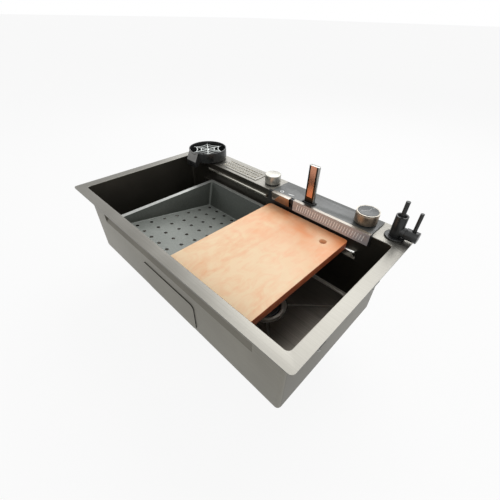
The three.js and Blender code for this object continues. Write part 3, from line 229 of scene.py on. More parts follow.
def weighted(tree: Tree, *parts: tuple[Socket, float]) -> Socket:
    """The sum of values, each times its weight.

    Args:
        tree: The tree to add it to.
        parts: Pairs of a socket and its weight.

    Returns:
        The socket that holds the sum.
    """
    shares = [math_node(tree, "MULTIPLY", value, weight) for value, weight in parts]
    total = shares[0]
    for share in shares[1:]:
        total = math_node(tree, "ADD", total, share)
    return total


def vector_node(tree: Tree, operation: str, *sources: Socket) -> bpy.types.Node:
    """A vector math node over its sources.

    Args:
        tree: The tree to add it to.
        operation: Name of the vector operation.
        sources: The sockets it reads, in order.

    Returns:
        The node.
    """
    node = tree.nodes.new("ShaderNodeVectorMath")
    node.operation = operation
    for source, target in zip(sources, node.inputs):
        tree.links.new(source, target)
    return node


def noise(
    tree: Tree, vector: Socket, scale: Socket | float, detail: float = 2.0, rough: float = 0.5,
    twist: float = 0.0,
) -> Socket:
    """A noise over a surface.

    Args:
        tree: The tree to add it to.
        vector: Its coordinates.
        scale: How fine it is.
        detail: Its octaves.
        rough: How much the finer octaves count.
        twist: Its distortion.

    Returns:
        The noise value.
    """
    node = tree.nodes.new("ShaderNodeTexNoise")
    tree.links.new(vector, node.inputs["Vector"])
    values = {"Scale": scale, "Detail": detail, "Roughness": rough, "Distortion": twist}
    for socket, value in values.items():
        feed(tree, value, node.inputs[socket])
    return node.outputs["Fac"]


def streak_group() -> Tree:
    """Fine brushed lines and slow clouding, as two values around a half.

    Returns:
        The node group, made once.
    """
    found = bpy.data.node_groups.get("brushed lines")
    if found:
        return found
    inputs = {"Vector": ("NodeSocketVector", 0.0), "Clouding": ("NodeSocketFloat", 9.0)}
    tree = new_group("brushed lines", inputs, {"Lines": "NodeSocketFloat", "Clouds": "NodeSocketFloat"})
    entry, leave = tree.nodes["Group Input"], tree.nodes["Group Output"]
    coords = tree.nodes.new("ShaderNodeTexCoord")
    lines = noise(tree, entry.outputs["Vector"], scale=9.0, detail=6.0, rough=0.7)
    clouds = noise(tree, coords.outputs["Object"], entry.outputs["Clouding"], detail=3.0)
    tree.links.new(lines, leave.inputs["Lines"])
    tree.links.new(clouds, leave.inputs["Clouds"])
    return tree


def stroke_group() -> Tree:
    """A mask that is 1 within a width of the line between two places.

    Returns:
        The node group, made once.
    """
    found = bpy.data.node_groups.get("printed stroke")
    if found:
        return found
    vector = ("NodeSocketVector", 0.0)
    inputs = {"Vector": vector, "From": vector, "To": vector, "Half Width": ("NodeSocketFloat", 0.001)}
    tree = new_group("printed stroke", inputs, {"Mask": "NodeSocketFloat"})
    entry, leave = tree.nodes["Group Input"], tree.nodes["Group Output"]
    place, start, end = (entry.outputs[socket] for socket in ("Vector", "From", "To"))
    away = vector_node(tree, "SUBTRACT", place, start).outputs["Vector"]
    along = vector_node(tree, "SUBTRACT", end, start).outputs["Vector"]
    reach = vector_node(tree, "DOT_PRODUCT", away, along).outputs["Value"]
    length = vector_node(tree, "DOT_PRODUCT", along, along).outputs["Value"]
    share = math_node(tree, "MAXIMUM", math_node(tree, "DIVIDE", reach, length), 0.0)
    scaled = vector_node(tree, "SCALE", along)
    tree.links.new(math_node(tree, "MINIMUM", share, 1.0), scaled.inputs["Scale"])
    distance = vector_node(tree, "DISTANCE", away, scaled.outputs["Vector"]).outputs["Value"]
    mask = math_node(tree, "LESS_THAN", distance, entry.outputs["Half Width"])
    tree.links.new(mask, leave.inputs["Mask"])
    return tree


def ramp(
    tree: Tree, value: Socket, first: Colour, last: Colour, ends: tuple[float, float] = (0.38, 0.62),
) -> Socket:
    """A colour ramp over a value.

    Args:
        tree: The tree to add it to.
        value: The socket read.
        first: Linear colour at the lower end and below it.
        last: Linear colour at the upper end and above it.
        ends: The values at its two ends.

    Returns:
        The colour socket.
    """
    node = tree.nodes.new("ShaderNodeValToRGB")
    for element, place, colour in zip(node.color_ramp.elements, ends, (first, last)):
        element.position = place
        element.color = colour
    tree.links.new(value, node.inputs["Fac"])
    return node.outputs["Color"]


def spread(tree: Tree, value: Socket, low: float, high: float) -> Socket:
    """A noise value stretched between two limits.

    Args:
        tree: The tree to add it to.
        value: The noise socket, mostly within NOISE_RANGE.
        low: Result at the lower end of that range.
        high: Result at its upper end.

    Returns:
        The stretched socket.
    """
    node = tree.nodes.new("ShaderNodeMapRange")
    limits = dict(zip(("From Min", "From Max", "To Min", "To Max"), (*NOISE_RANGE, low, high)))
    for socket, limit in limits.items():
        node.inputs[socket].default_value = limit
    tree.links.new(value, node.inputs["Value"])
    return node.outputs[0]


def blank_material(name: str) -> tuple[bpy.types.Material, Tree, bpy.types.Node]:
    """A node material with its surface shader.

    Args:
        name: Name of the material.

    Returns:
        The material, its tree and its Principled shader.
    """
    material = bpy.data.materials.new(name)
    material.use_nodes = True
    tree = material.node_tree
    return material, tree, tree.nodes["Principled BSDF"]


def bump(tree: Tree, shader: bpy.types.Node, height: Socket, depth: float) -> None:
    """Relief from a height.

    Args:
        tree: The material's tree.
        shader: The surface shader.
        height: The socket read as height.
        depth: Depth of the relief in metres.
    """
    node = tree.nodes.new("ShaderNodeBump")
    node.inputs["Distance"].default_value = depth
    tree.links.new(height, node.inputs["Height"])
    tree.links.new(node.outputs["Normal"], shader.inputs["Normal"])


def mapped(tree: Tree, scale: tuple[float, float, float]) -> Socket:
    """Object coordinates stretched along the axes.

    Args:
        tree: The material's tree.
        scale: Scale along X, Y and Z.

    Returns:
        The vector socket.
    """
    coords = tree.nodes.new("ShaderNodeTexCoord")
    mapping = tree.nodes.new("ShaderNodeMapping")
    mapping.inputs["Scale"].default_value = scale
    tree.links.new(coords.outputs["Object"], mapping.inputs["Vector"])
    return mapping.outputs["Vector"]


# ------------------------------------------------------------------ finishes
@dataclass(frozen=True)
class Metal:
    """A metal finish with brushed lines and a slow clouding of its gloss."""

    name: str
    dark: Colour
    light: Colour
    rough: float = 0.35
    vary: float = 0.06
    relief: float = 0.00002
    grain: Grain = Grain.ALONG_X
    metallic: float = 1.0
    line_share: float = 0.6

    def build(self) -> bpy.types.Material:
        """The material with its grain.

        Returns:
            The finished material.
        """
        material, tree, shader = blank_material(self.name)
        group = tree.nodes.new("ShaderNodeGroup")
        group.node_tree = streak_group()
        tree.links.new(mapped(tree, self.grain.value), group.inputs["Vector"])
        lines, clouds = group.outputs["Lines"], group.outputs["Clouds"]
        both = weighted(tree, (lines, self.line_share), (clouds, 1.0 - self.line_share))
        tree.links.new(ramp(tree, both, self.dark, self.light), shader.inputs["Base Color"])
        gloss = spread(tree, both, self.rough - self.vary, self.rough + self.vary)
        tree.links.new(gloss, shader.inputs["Roughness"])
        shader.inputs["Metallic"].default_value = self.metallic
        bump(tree, shader, lines, self.relief)
        return material


@dataclass(frozen=True)
class Moulded:
    """A plastic, rubber or coating with a fine grain in its surface."""

    name: str
    colour: Colour
    rough: float = 0.5
    vary: float = 0.08
    relief: float = 0.00003
    pitch: float = 900.0
    metallic: float = 0.0
    clouding: float = 30.0
    shade: float = 0.82
    tint: float = 1.2

    def build(self) -> bpy.types.Material:
        """The material with its fine grain.

        Returns:
            The finished material.
        """
        material, tree, shader = blank_material(self.name)
        coords = mapped(tree, EVEN)
        clouds = noise(tree, coords, self.clouding)
        deep = tuple(channel * self.shade for channel in self.colour[:3]) + (1.0,)
        pale = tuple(min(1.0, channel * self.tint) for channel in self.colour[:3]) + (1.0,)
        tree.links.new(ramp(tree, clouds, deep, pale, (0.35, 0.65)), shader.inputs["Base Color"])
        gloss = spread(tree, clouds, self.rough - self.vary, self.rough + self.vary)
        tree.links.new(gloss, shader.inputs["Roughness"])
        shader.inputs["Metallic"].default_value = self.metallic
        bump(tree, shader, noise(tree, coords, self.pitch), self.relief)
        return material


@dataclass(frozen=True)
class Line:
    """A pale line printed under glass, from one place to another, in metres."""

    from_x: float
    from_y: float
    to_x: float
    to_y: float
    half_width: float


@dataclass(frozen=True)
class Ring:
    """A pale ring printed under glass, in metres."""

    x: float
    y: float
    radius: float
    half_width: float = 0.0010


@dataclass(frozen=True)
class Glass:
    """Dark glass with pale marks printed under its top."""

    name: str
    colour: Colour
    ink: Colour
    level: float = 0.0063
    rough: float = 0.32
    vary: float = 0.04
    haze: float = 40.0
    rings: tuple[Ring, ...] = ()
    lines: tuple[Line, ...] = ()

    def build(self) -> bpy.types.Material:
        """The glass with its marks.

        Returns:
            The finished material.
        """
        material, tree, shader = blank_material(self.name)
        coords = mapped(tree, EVEN)
        marks = [self.stroke(tree, coords, line, line.half_width) for line in self.lines]
        for ring in self.rings:
            dot = Line(ring.x, ring.y, ring.x + DOT, ring.y, 0.0)
            outer = self.stroke(tree, coords, dot, ring.radius + ring.half_width)
            inner = self.stroke(tree, coords, dot, ring.radius - ring.half_width)
            marks.append(math_node(tree, "SUBTRACT", outer, inner))
        total = marks[0]
        for mark in marks[1:]:
            total = math_node(tree, "MAXIMUM", total, mark)
        tree.links.new(ramp(tree, total, self.colour, self.ink, (0.0, 1.0)), shader.inputs["Base Color"])
        gloss = spread(tree, noise(tree, coords, self.haze), self.rough - self.vary, self.rough + self.vary)
        tree.links.new(gloss, shader.inputs["Roughness"])
        return material

    def stroke(self, tree: Tree, coords: Socket, line: Line, half_width: float) -> Socket:
        """One stroke of a mark.

        Args:
            tree: The material's tree.
            coords: Object coordinates.
            line: Where it runs.
            half_width: Half of its width.

        Returns:
            The mask socket.
        """
        group = tree.nodes.new("ShaderNodeGroup")
        group.node_tree = stroke_group()
        group.inputs["From"].default_value = (line.from_x, line.from_y, self.level)
        group.inputs["To"].default_value = (line.to_x, line.to_y, self.level)
        group.inputs["Half Width"].default_value = half_width
        tree.links.new(coords, group.inputs["Vector"])
        return group.outputs["Mask"]


@dataclass(frozen=True)
class Pattern:
    """A noise over wood: its stretch along the axes, how fine it is, its octaves and its distortion."""

    stretch: tuple[float, float, float]
    scale: float
    detail: float
    twist: float

    def build(self, tree: Tree) -> Socket:
        """The value of the pattern in a material's tree."""
        return noise(tree, mapped(tree, self.stretch), self.scale, self.detail, twist=self.twist)


@dataclass(frozen=True)
class Timber:
    """Oiled wood glued up from strips, with growth lines, a mottled oil and a redder rear."""

    name: str
    pale: Colour
    warm: Colour
    red: Colour
    strip: float = 0.0608
    rear: tuple[float, float] = (0.02, 0.15)
    rough: float = 0.5
    vary: float = 0.1
    relief: float = 0.0001
    redness: float = 0.9
    cloud_range: tuple[float, float] = (0.2, 1.1)
    line_share: float = 0.36
    mottle_share: float = 0.64
    strip_share: float = 0.08
    growth: Pattern = Pattern((4.0, 0.8, 4.0), 16.0, 6.0, 0.9)
    mottle: Pattern = Pattern((1.0, 0.7, 1.0), 26.0, 4.0, 1.6)
    clouds: Pattern = Pattern(EVEN, 14.0, 2.0, 0.4)

    def build(self) -> bpy.types.Material:
        """The wood material.

        Returns:
            The finished material.
        """
        material, tree, shader = blank_material(self.name)
        axes = tree.nodes.new("ShaderNodeSeparateXYZ")
        tree.links.new(mapped(tree, EVEN), axes.inputs[0])
        tone = self.strip_tone(tree, axes.outputs["X"])
        lines, mottle = self.growth.build(tree), self.mottle.build(tree)
        parts = (lines, self.line_share), (mottle, self.mottle_share), (tone, self.strip_share)
        share = weighted(tree, *parts)
        mix = tree.nodes.new("ShaderNodeMix")
        mix.data_type = "RGBA"
        mix.inputs["B"].default_value = self.red
        clouds = spread(tree, self.clouds.build(tree), *self.cloud_range)
        glow = math_node(tree, "MULTIPLY", self.rearward(tree, axes.outputs["Y"]), clouds)
        tree.links.new(math_node(tree, "MULTIPLY", glow, self.redness), mix.inputs["Factor"])
        tree.links.new(ramp(tree, share, self.warm, self.pale), mix.inputs["A"])
        tree.links.new(mix.outputs["Result"], shader.inputs["Base Color"])
        gloss = spread(tree, mottle, self.rough - self.vary, self.rough + self.vary)
        tree.links.new(gloss, shader.inputs["Roughness"])
        bump(tree, shader, lines, self.relief)
        return material

    def strip_tone(self, tree: Tree, across: Socket) -> Socket:
        """A tone of its own for each glued strip.

        Args:
            tree: The material's tree.
            across: Place across the strips.

        Returns:
            The tone, from 0 to 1.
        """
        number = math_node(tree, "FLOOR", math_node(tree, "DIVIDE", across, self.strip), 0.0)
        tone = tree.nodes.new("ShaderNodeTexWhiteNoise")
        tone.noise_dimensions = "1D"
        tree.links.new(number, tone.inputs["W"])
        return tone.outputs["Value"]

    def rearward(self, tree: Tree, along: Socket) -> Socket:
        """How far a place lies towards the rear of the board.

        Args:
            tree: The material's tree.
            along: Place from front to rear.

        Returns:
            0 up to the front limit, 1 from the rear limit on.
        """
        node = tree.nodes.new("ShaderNodeMapRange")
        node.inputs["From Min"].default_value = self.rear[0]
        node.inputs["From Max"].default_value = self.rear[1]
        tree.links.new(along, node.inputs["Value"])
        return node.outputs[0]


Finish = Metal | Moulded | Glass | Timber

RIM_STEEL = Metal("gunmetal rim steel", srgb(126, 124, 118), srgb(140, 138, 132), 0.4)
# Painted highlight: pale steel on the upper bead's nosing, which catches the light from above.
BEAD_HIGHLIGHT_STEEL = Metal("painted bead highlight steel", srgb(216, 213, 202), srgb(236, 233, 222), 0.3)
# Painted light and shade: the inner walls and the floor are one steel; the walls are darkened as in shade,
# the floor lightened as lit from above.
SHADED_WALL_STEEL = Metal("bowl wall steel with painted shade", srgb(58, 56, 50), srgb(74, 71, 64), 0.38, relief=0.00001, metallic=0.7)
LIT_FLOOR_STEEL = Metal("bowl floor steel with painted light", srgb(106, 100, 92), srgb(142, 136, 127), 0.4, metallic=0.6)
# Pale steel: the drain flange's dish, and a painted highlight on the bowl floor's creases and its edge
# fillet.
DISH_AND_CREASE_GLINT_STEEL = Metal("pale steel: drain dish and painted crease highlight", srgb(196, 191, 182), srgb(218, 213, 204), 0.34, metallic=0.6)
OUTER_STEEL = Metal("outer wall steel", srgb(130, 127, 117), srgb(148, 145, 135), 0.42, metallic=0.9)
# Painted shade: the outer steel darkened in the grooves outside the pressed beads and on the bowl's outer
# end walls.
SHADED_OUTER_STEEL = Metal("outer steel with painted shade", srgb(112, 109, 101), srgb(126, 123, 114), 0.43, metallic=0.9)
FOLD_STEEL = Metal("folded top steel", srgb(138, 133, 126), srgb(158, 153, 145), 0.36)
TRIM_STEEL = Metal("knob trim steel", srgb(166, 161, 151), srgb(184, 179, 169), 0.4)
# Painted highlight: bright steel on the rounded lip of the colander's flange.
LIP_HIGHLIGHT_STEEL = Metal("lip of the sheet with painted highlight", srgb(214, 216, 212), srgb(230, 232, 228), 0.2)
# Painted light and shade: the colander is one slate sheet; its walls are darkened as in shade, its floor and
# flange lightened where they face the light.
SHADED_SLATE_WALL = Metal(
    "slate sheet wall with painted shade", srgb(62, 66, 61), srgb(76, 80, 75), 0.44, grain=Grain.NONE, metallic=0.4,
)
LIT_SLATE_FLOOR = Metal(
    "slate sheet floor with painted light", srgb(124, 128, 123), srgb(142, 146, 141), 0.48, grain=Grain.NONE, metallic=0.35,
)
LIT_SLATE_FLANGE = Metal("slate sheet flange with painted light", srgb(182, 184, 180), srgb(202, 204, 200), 0.34, metallic=0.5)
DARK_SHEET = Metal("dark fitting sheet", srgb(56, 57, 58), srgb(72, 73, 74), 0.42, grain=Grain.NONE)
BRIGHT_STEEL = Metal("bright steel", srgb(150, 150, 147), srgb(174, 174, 171), 0.28)
SATIN_STEEL = Metal(
    "satin silver", srgb(168, 166, 159), srgb(194, 192, 185), 0.34, grain=Grain.ALONG_Z, metallic=0.85,
)
SPRAY_STEEL = Metal("satin outlet steel", srgb(184, 180, 181), srgb(202, 198, 199), 0.44, metallic=0.2)
MIRROR_STEEL = Metal("mirror steel", srgb(150, 132, 120), srgb(168, 150, 138), 0.06, 0.02, 0.000002)
# Painted reflections on the blade: a copper band where its faces mirror the board, dark where they mirror
# shade.
BOARD_REFLECTION_STEEL = Metal(
    "steel with painted board reflection", srgb(204, 140, 110), srgb(220, 156, 126), 0.26, 0.04, 0.000002, Grain.ALONG_Z,
)
DARK_REFLECTION_STEEL = Metal("steel with painted dark reflection", srgb(50, 42, 36), srgb(68, 58, 48), 0.16, 0.03, 0.000002, Grain.ALONG_Z)
KNOB_STEEL = Metal("turned gunmetal", srgb(142, 128, 112), srgb(162, 148, 132), 0.38, grain=Grain.NONE)
BLACK_COAT = Moulded("black coating", srgb(50, 51, 51), 0.3, metallic=0.4)
# Painted highlight: near-white steel on the outlets' slot walls and on the fins in the rain plate's slots.
SLOT_HIGHLIGHT_STEEL = Metal("slot steel with painted highlight", srgb(252, 250, 248), srgb(255, 255, 254), 0.4, metallic=0.0)
WEB_STEEL = Metal("web steel", srgb(146, 150, 148), srgb(168, 172, 170), 0.34, metallic=0.9)
# Painted light: the tray under the drip grille and the grille's slot walls made pale, so that the openings
# show bright.
LIT_TRAY_STEEL = Metal("tray steel with painted light", srgb(240, 237, 228), srgb(248, 245, 236), 0.45, metallic=0.1)
# Painted shade: near-black walls in the colander's drain holes.
HOLE_SHADE = Moulded("painted drain hole shade", srgb(24, 26, 25), 0.7)
# Painted highlight: near-white steel on the drain flange's rings and on the lower bead's right end.
HIGHLIGHT_STEEL = Metal("painted highlight steel", srgb(238, 237, 233), srgb(248, 247, 243), 0.14)
# Painted highlight: near-white steel on the upward faces of the rinser grid's hub.
HUB_HIGHLIGHT_STEEL = Metal("hub steel with painted highlight", srgb(236, 240, 238), srgb(246, 250, 248), 0.3, metallic=0.3)
# Painted light: a paler, glossier coating on the top of the beak, where light falls.
LIT_HOOD_COAT = Moulded("beak coating with painted light", srgb(110, 109, 107), 0.14, metallic=0.85)
PANEL_GLASS = Glass(
    "panel glass", srgb(76, 79, 78), srgb(226, 228, 226),
    rings=(Ring(0.0374, 0.1612, 0.0042),), lines=(Line(0.0595, 0.1630, 0.0735, 0.1650, 0.0016),),
)
KNOB_GLASS = Glass("knob glass", srgb(74, 77, 77), srgb(186, 186, 182), level=0.0360, lines=(
    Line(0.2530, 0.1750, 0.2666, 0.1892, 0.00045), Line(0.2666, 0.1892, 0.2662, 0.2010, 0.00045),
    Line(0.2675, 0.2052, 0.2705, 0.2056, 0.0008),
))
BLACK_PLASTIC = Moulded("black plastic", srgb(26, 26, 27), 0.5)
GREY_PLASTIC = Moulded("grey plastic", srgb(150, 152, 154), 0.5)
PAD_RUBBER = Moulded("pad rubber", srgb(52, 52, 51), 0.85, relief=0.0002, pitch=500.0)
GASKET_RUBBER = Moulded("gasket rubber", srgb(26, 26, 27), 0.7)
BRASS = Metal("machined brass", srgb(176, 140, 72), srgb(205, 170, 98), 0.3, grain=Grain.NONE)
BOARD_WOOD = Timber(
    "board wood", srgb(255, 224, 184), srgb(250, 198, 152), srgb(255, 160, 100), rear=(-0.04, 0.12),
)
BOARD_EDGE = Timber("board edge wood", srgb(214, 118, 76), srgb(172, 88, 56), srgb(214, 108, 66))


# ------------------------------------------------------------------ making and placing meshes
def placed(
    name: str, shape: BMesh, finish: bpy.types.Material, smooth: float = PLAIN_SMOOTH,
) -> bpy.types.Object:
    """A mesh object at the origin from a finished bmesh, smooth except at its edges.

    Args:
        name: Name of the piece.
        shape: The bmesh, which is freed.
        finish: Its material.
        smooth: Angle in degrees above which an edge stays sharp.

    Returns:
        The object.
    """
    mesh = bpy.data.meshes.new(name)
    shape.to_mesh(mesh)
    shape.free()
    mesh.shade_smooth()
    mesh.set_sharp_from_angle(angle=math.radians(smooth))
    mesh.materials.append(finish)
    piece = bpy.data.objects.new(name, mesh)
    bpy.context.scene.collection.objects.link(piece)
    return piece


def seat(piece: bpy.types.Object, node: str) -> bpy.types.Object:
    """The piece stands for a frame node and rides on that node's body.

    Args:
        piece: The finished piece.
        node: The frame node it stands for.

    Returns:
        The piece.
    """
    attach(piece, frame["nodes"][node]["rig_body"])
    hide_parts(node)
    LOG.info("%s stands for %s", piece.name, node)
    return piece


def merged_copy(node: str) -> BMesh:
    """The node's solid as one welded mesh whose flat faces are whole.

    Args:
        node: Name of the frame node.

    Returns:
        A bmesh of it.
    """
    shape = bmesh.new()
    shape.from_mesh(frame["nodes"][node].data)
    bmesh.ops.remove_doubles(shape, verts=shape.verts, dist=WELD)
    bmesh.ops.dissolve_limit(
        shape, angle_limit=FLAT_ANGLE, use_dissolve_boundaries=False, verts=shape.verts, edges=shape.edges,
    )
    return shape


def eased(shape: BMesh, width: Ease, segments: int = 2) -> BMesh:
    """The same solid with its sharp edges rounded.

    Args:
        shape: The bmesh to work on.
        width: Width of the rounding.
        segments: Steps of the rounding.

    Returns:
        The same bmesh.
    """
    edges = [edge for edge in shape.edges if edge.is_manifold and edge.calc_face_angle(0.0) > SHARP_ANGLE]
    bmesh.ops.bevel(
        shape, geom=edges, offset=width.value, offset_type="OFFSET", segments=segments, profile=0.5,
        affect="EDGES", clamp_overlap=True, material=-1,
    )
    return shape


def split(
    shape: BMesh, axis: int, place: float, chosen: list[bmesh.types.BMFace] | None = None,
) -> None:
    """Splits faces of a solid along a plane and keeps both sides.

    Args:
        shape: The bmesh to work on.
        axis: 0, 1 or 2 for a plane across X, Y or Z.
        place: Where it crosses the axis.
        chosen: The faces to split, or none for all of them.
    """
    across = Vector([float(index == axis) for index in range(3)])
    faces = list(shape.faces) if chosen is None else chosen
    whole = faces + list(dict.fromkeys(edge for face in faces for edge in face.edges))
    whole += list(dict.fromkeys(vertex for face in faces for vertex in face.verts))
    bmesh.ops.bisect_plane(shape, geom=whole, dist=TOUCH, plane_co=across * place, plane_no=across)


def in_order(shape: BMesh) -> None:
    """Numbers the faces by their place, because plane cuts leave them in no fixed order.

    Args:
        shape: The bmesh to work on.
    """
    for number, face in enumerate(sorted(shape.faces, key=lambda face: face.calc_center_median()[:])):
        face.index = number
    shape.faces.sort()


class SubAssembly:
    """A group of pieces that are made and dressed together."""

    finishes: dict[str, bpy.types.Material] = {}

    def finish(self, kind: Finish) -> bpy.types.Material:
        """The material of a finish, built once.

        Args:
            kind: The finish.

        Returns:
            Its material.
        """
        if kind.name not in SubAssembly.finishes:
            SubAssembly.finishes[kind.name] = kind.build()
        return SubAssembly.finishes[kind.name]

    def dress(self, node: str, kind: Finish, slot: str, ease: Ease = Ease.NONE) -> bpy.types.Object:
        """Dresses a node whose solid has the right shape: a welded copy with eased edges and a finish.

        Args:
            node: The frame node.
            kind: Its finish.
            slot: The record's material slot; not used.
            ease: Rounding of its edges.

        Returns:
            The piece.
        """
        shape = merged_copy(node)
        if ease:
            shape = eased(shape, ease)
        return seat(placed(f"{node}_dressed", shape, self.finish(kind)), node)

    def zoned(
        self, node: str, kinds: list[Finish], pick: Callable[[Vector, Vector], int], ease: Ease = Ease.NONE,
        segments: int = 2, cuts: tuple[tuple[int, float], ...] = (), shape: BMesh | None = None,
    ) -> bpy.types.Object:
        """A dressed copy of a node whose faces take different finishes.

        Args:
            node: The frame node.
            kinds: The finishes, in the order that pick numbers them.
            pick: Gives the number of a face's finish from its middle and its direction.
            ease: Rounding of its edges.
            segments: Steps of the rounding.
            cuts: Axis number and place of each plane at which its faces are split.
            shape: A copy of the node that is worked on already, if any.

        Returns:
            The piece, not yet seated.
        """
        shape = shape or merged_copy(node)
        if ease:
            shape = eased(shape, ease, segments)
        for axis, place in cuts:
            split(shape, axis, place)
        if cuts:
            in_order(shape)
        piece = placed(f"{node}_dressed", shape, self.finish(kinds[0]), ZONED_SMOOTH)
        for kind in kinds[1:]:
            piece.data.materials.append(self.finish(kind))
        for face in piece.data.polygons:
            face.material_index = int(pick(face.center, face.normal))
        return piece

    def build(self) -> None:
        """Makes every piece of the sub-assembly."""
        raise NotImplementedError


class ShellZone(IntEnum):
    """Parts of the shell that look different, in the order of their materials."""

    RIM = 0
    WALL = 1
    OUTER = 2
    FLOOR = 3
    BEAD_HIGHLIGHT = 4
    CREASE = 5
    SHADED_OUTER = 6
    BEAD_END_GLINT = 7


@dataclass
class Shell(SubAssembly):
    """The steel bowl with its rim, deck and pads."""

    inner_x: float = 0.3488
    inner_front: float = -0.1998
    inner_back: float = 0.1493
    inner_floor: float = -0.1970
    upper_bead: tuple[float, float] = (-0.0248, -0.0140)
    lower_bead: tuple[float, float] = (-0.0775, -0.0500)
    rear_beads: float = 0.1300
    bead_depth: float = 0.0125
    bead_sheet: float = 0.0012
    bead_nose: float = 0.0006
    bead_lean: float = 0.1
    bead_shelf: float = 0.8
    glint_from: float = 0.2380
    corner: float = 0.0150
    crease: float = 0.0115
    level: float = 0.997
    floor_sheet: float = 0.0013
    underside: float = -0.1900
    slack: float = 0.0003
    rim_slack: float = 0.0002

    def build(self) -> None:
        """Makes the bowl and the pads."""
        finishes = {
            ShellZone.RIM: RIM_STEEL, ShellZone.WALL: SHADED_WALL_STEEL, ShellZone.OUTER: OUTER_STEEL,
            ShellZone.FLOOR: LIT_FLOOR_STEEL, ShellZone.BEAD_HIGHLIGHT: BEAD_HIGHLIGHT_STEEL, ShellZone.CREASE: DISH_AND_CREASE_GLINT_STEEL,
            ShellZone.SHADED_OUTER: SHADED_OUTER_STEEL, ShellZone.BEAD_END_GLINT: HIGHLIGHT_STEEL,
        }
        shape = merged_copy("sink_bowl")
        low, high = self.lower_bead
        middles = {face: face.calc_center_median() for face in shape.faces}
        behind = [face for face, middle in middles.items() if middle.y > self.rear_beads]
        # Split where the lower bead's painted highlight begins.
        split(shape, 0, self.glint_from, [face for face in behind if low < middles[face].z < high])
        piece = self.zoned("sink_bowl", [finishes[zone] for zone in ShellZone], self.zone, shape=shape)
        seat(piece, "sink_bowl")
        self.front_pad()
        for pad in ("back", "base_left", "base_right"):
            self.dress(f"sound_pad_{pad}", PAD_RUBBER, "pad_rubber", Ease.PAD)

    def front_pad(self) -> None:
        """The front pad, coated like the wall on its face, so that only its dark rubber edge shows; that
        edge also stands in for the painted shadow line along the pad.
        """
        kinds = [OUTER_STEEL, PAD_RUBBER]
        piece = self.zoned("sound_pad_front", kinds, lambda _, normal: int(normal.y > -FACING))
        seat(piece, "sound_pad_front")

    def zone(self, centre: Vector, normal: Vector) -> int:
        """Which finish a face of the shell takes.

        Args:
            centre: Middle of the face.
            normal: Its direction.

        Returns:
            Number of the material.
        """
        if centre.z > -self.rim_slack:
            return ShellZone.RIM
        inside = self.inside(centre)
        # Grooves outside the beads and the outer end walls take painted shade.
        if inside and self.groove(centre, normal):
            return ShellZone.SHADED_OUTER
        if not inside or self.outward(centre, normal):
            return ShellZone.SHADED_OUTER if abs(normal.x) > FACING else ShellZone.OUTER
        if centre.z < self.inner_floor + self.crease and normal.z > LEANING:
            # Creases and the floor's edge fillet take a painted highlight.
            return ShellZone.CREASE if normal.z < self.level else ShellZone.FLOOR
        if self.rear_beads < centre.y < self.inner_back - self.bead_nose:
            # The upper bead's nosing takes a painted highlight.
            if self.upper_bead[0] < centre.z < self.upper_bead[1] and normal.y < BARELY:
                return ShellZone.BEAD_HIGHLIGHT
            lower = self.lower_bead[0] < centre.z < self.lower_bead[1]
            # The lower bead's exposed right end takes a painted highlight.
            if lower and centre.x > self.glint_from and normal.z > -HALFWAY:
                return ShellZone.BEAD_END_GLINT
        # Inner walls take the steel darkened as painted shade.
        return ShellZone.WALL

    def inside(self, centre: Vector) -> bool:
        """Tells the inner faces of the bowl from its rim and outer faces.

        Args:
            centre: Middle of the face.

        Returns:
            Whether it lies within the inner walls and above the floor's sheet.
        """
        across = abs(centre.x) < self.inner_x + self.slack
        along = self.inner_front - self.slack < centre.y < self.inner_back + self.slack
        return across and along and centre.z > self.inner_floor - self.floor_sheet

    def outward(self, centre: Vector, normal: Vector) -> bool:
        """Tells the outer side of the bowl's corners and floor.

        Args:
            centre: Middle of the face.
            normal: Its direction.

        Returns:
            Whether the face looks out of the bowl.
        """
        at_end = abs(centre.x) > self.inner_x - self.corner and normal.x * centre.x > HALFWAY * abs(centre.x)
        return at_end or normal.z < -MOSTLY and centre.z < self.underside

    def groove(self, centre: Vector, normal: Vector) -> bool:
        """Tells the outer side of a pressed bead from its inner side.

        Args:
            centre: Middle of the face.
            normal: Its direction.

        Returns:
            Whether the face lies in the groove outside the wall.
        """
        front, back = self.inner_front + self.bead_depth, self.inner_back - self.bead_depth
        if front <= centre.y <= back:
            return False
        for low, high in (self.upper_bead, self.lower_bead):
            if low + self.bead_sheet < centre.z < high - self.bead_sheet:
                if abs(normal.x) > HALFWAY:
                    return normal.x * centre.x < 0.0
                leaning_out = normal.y * centre.y > self.bead_lean * abs(centre.y)
                return leaning_out or abs(normal.z) > self.bead_shelf
        return False


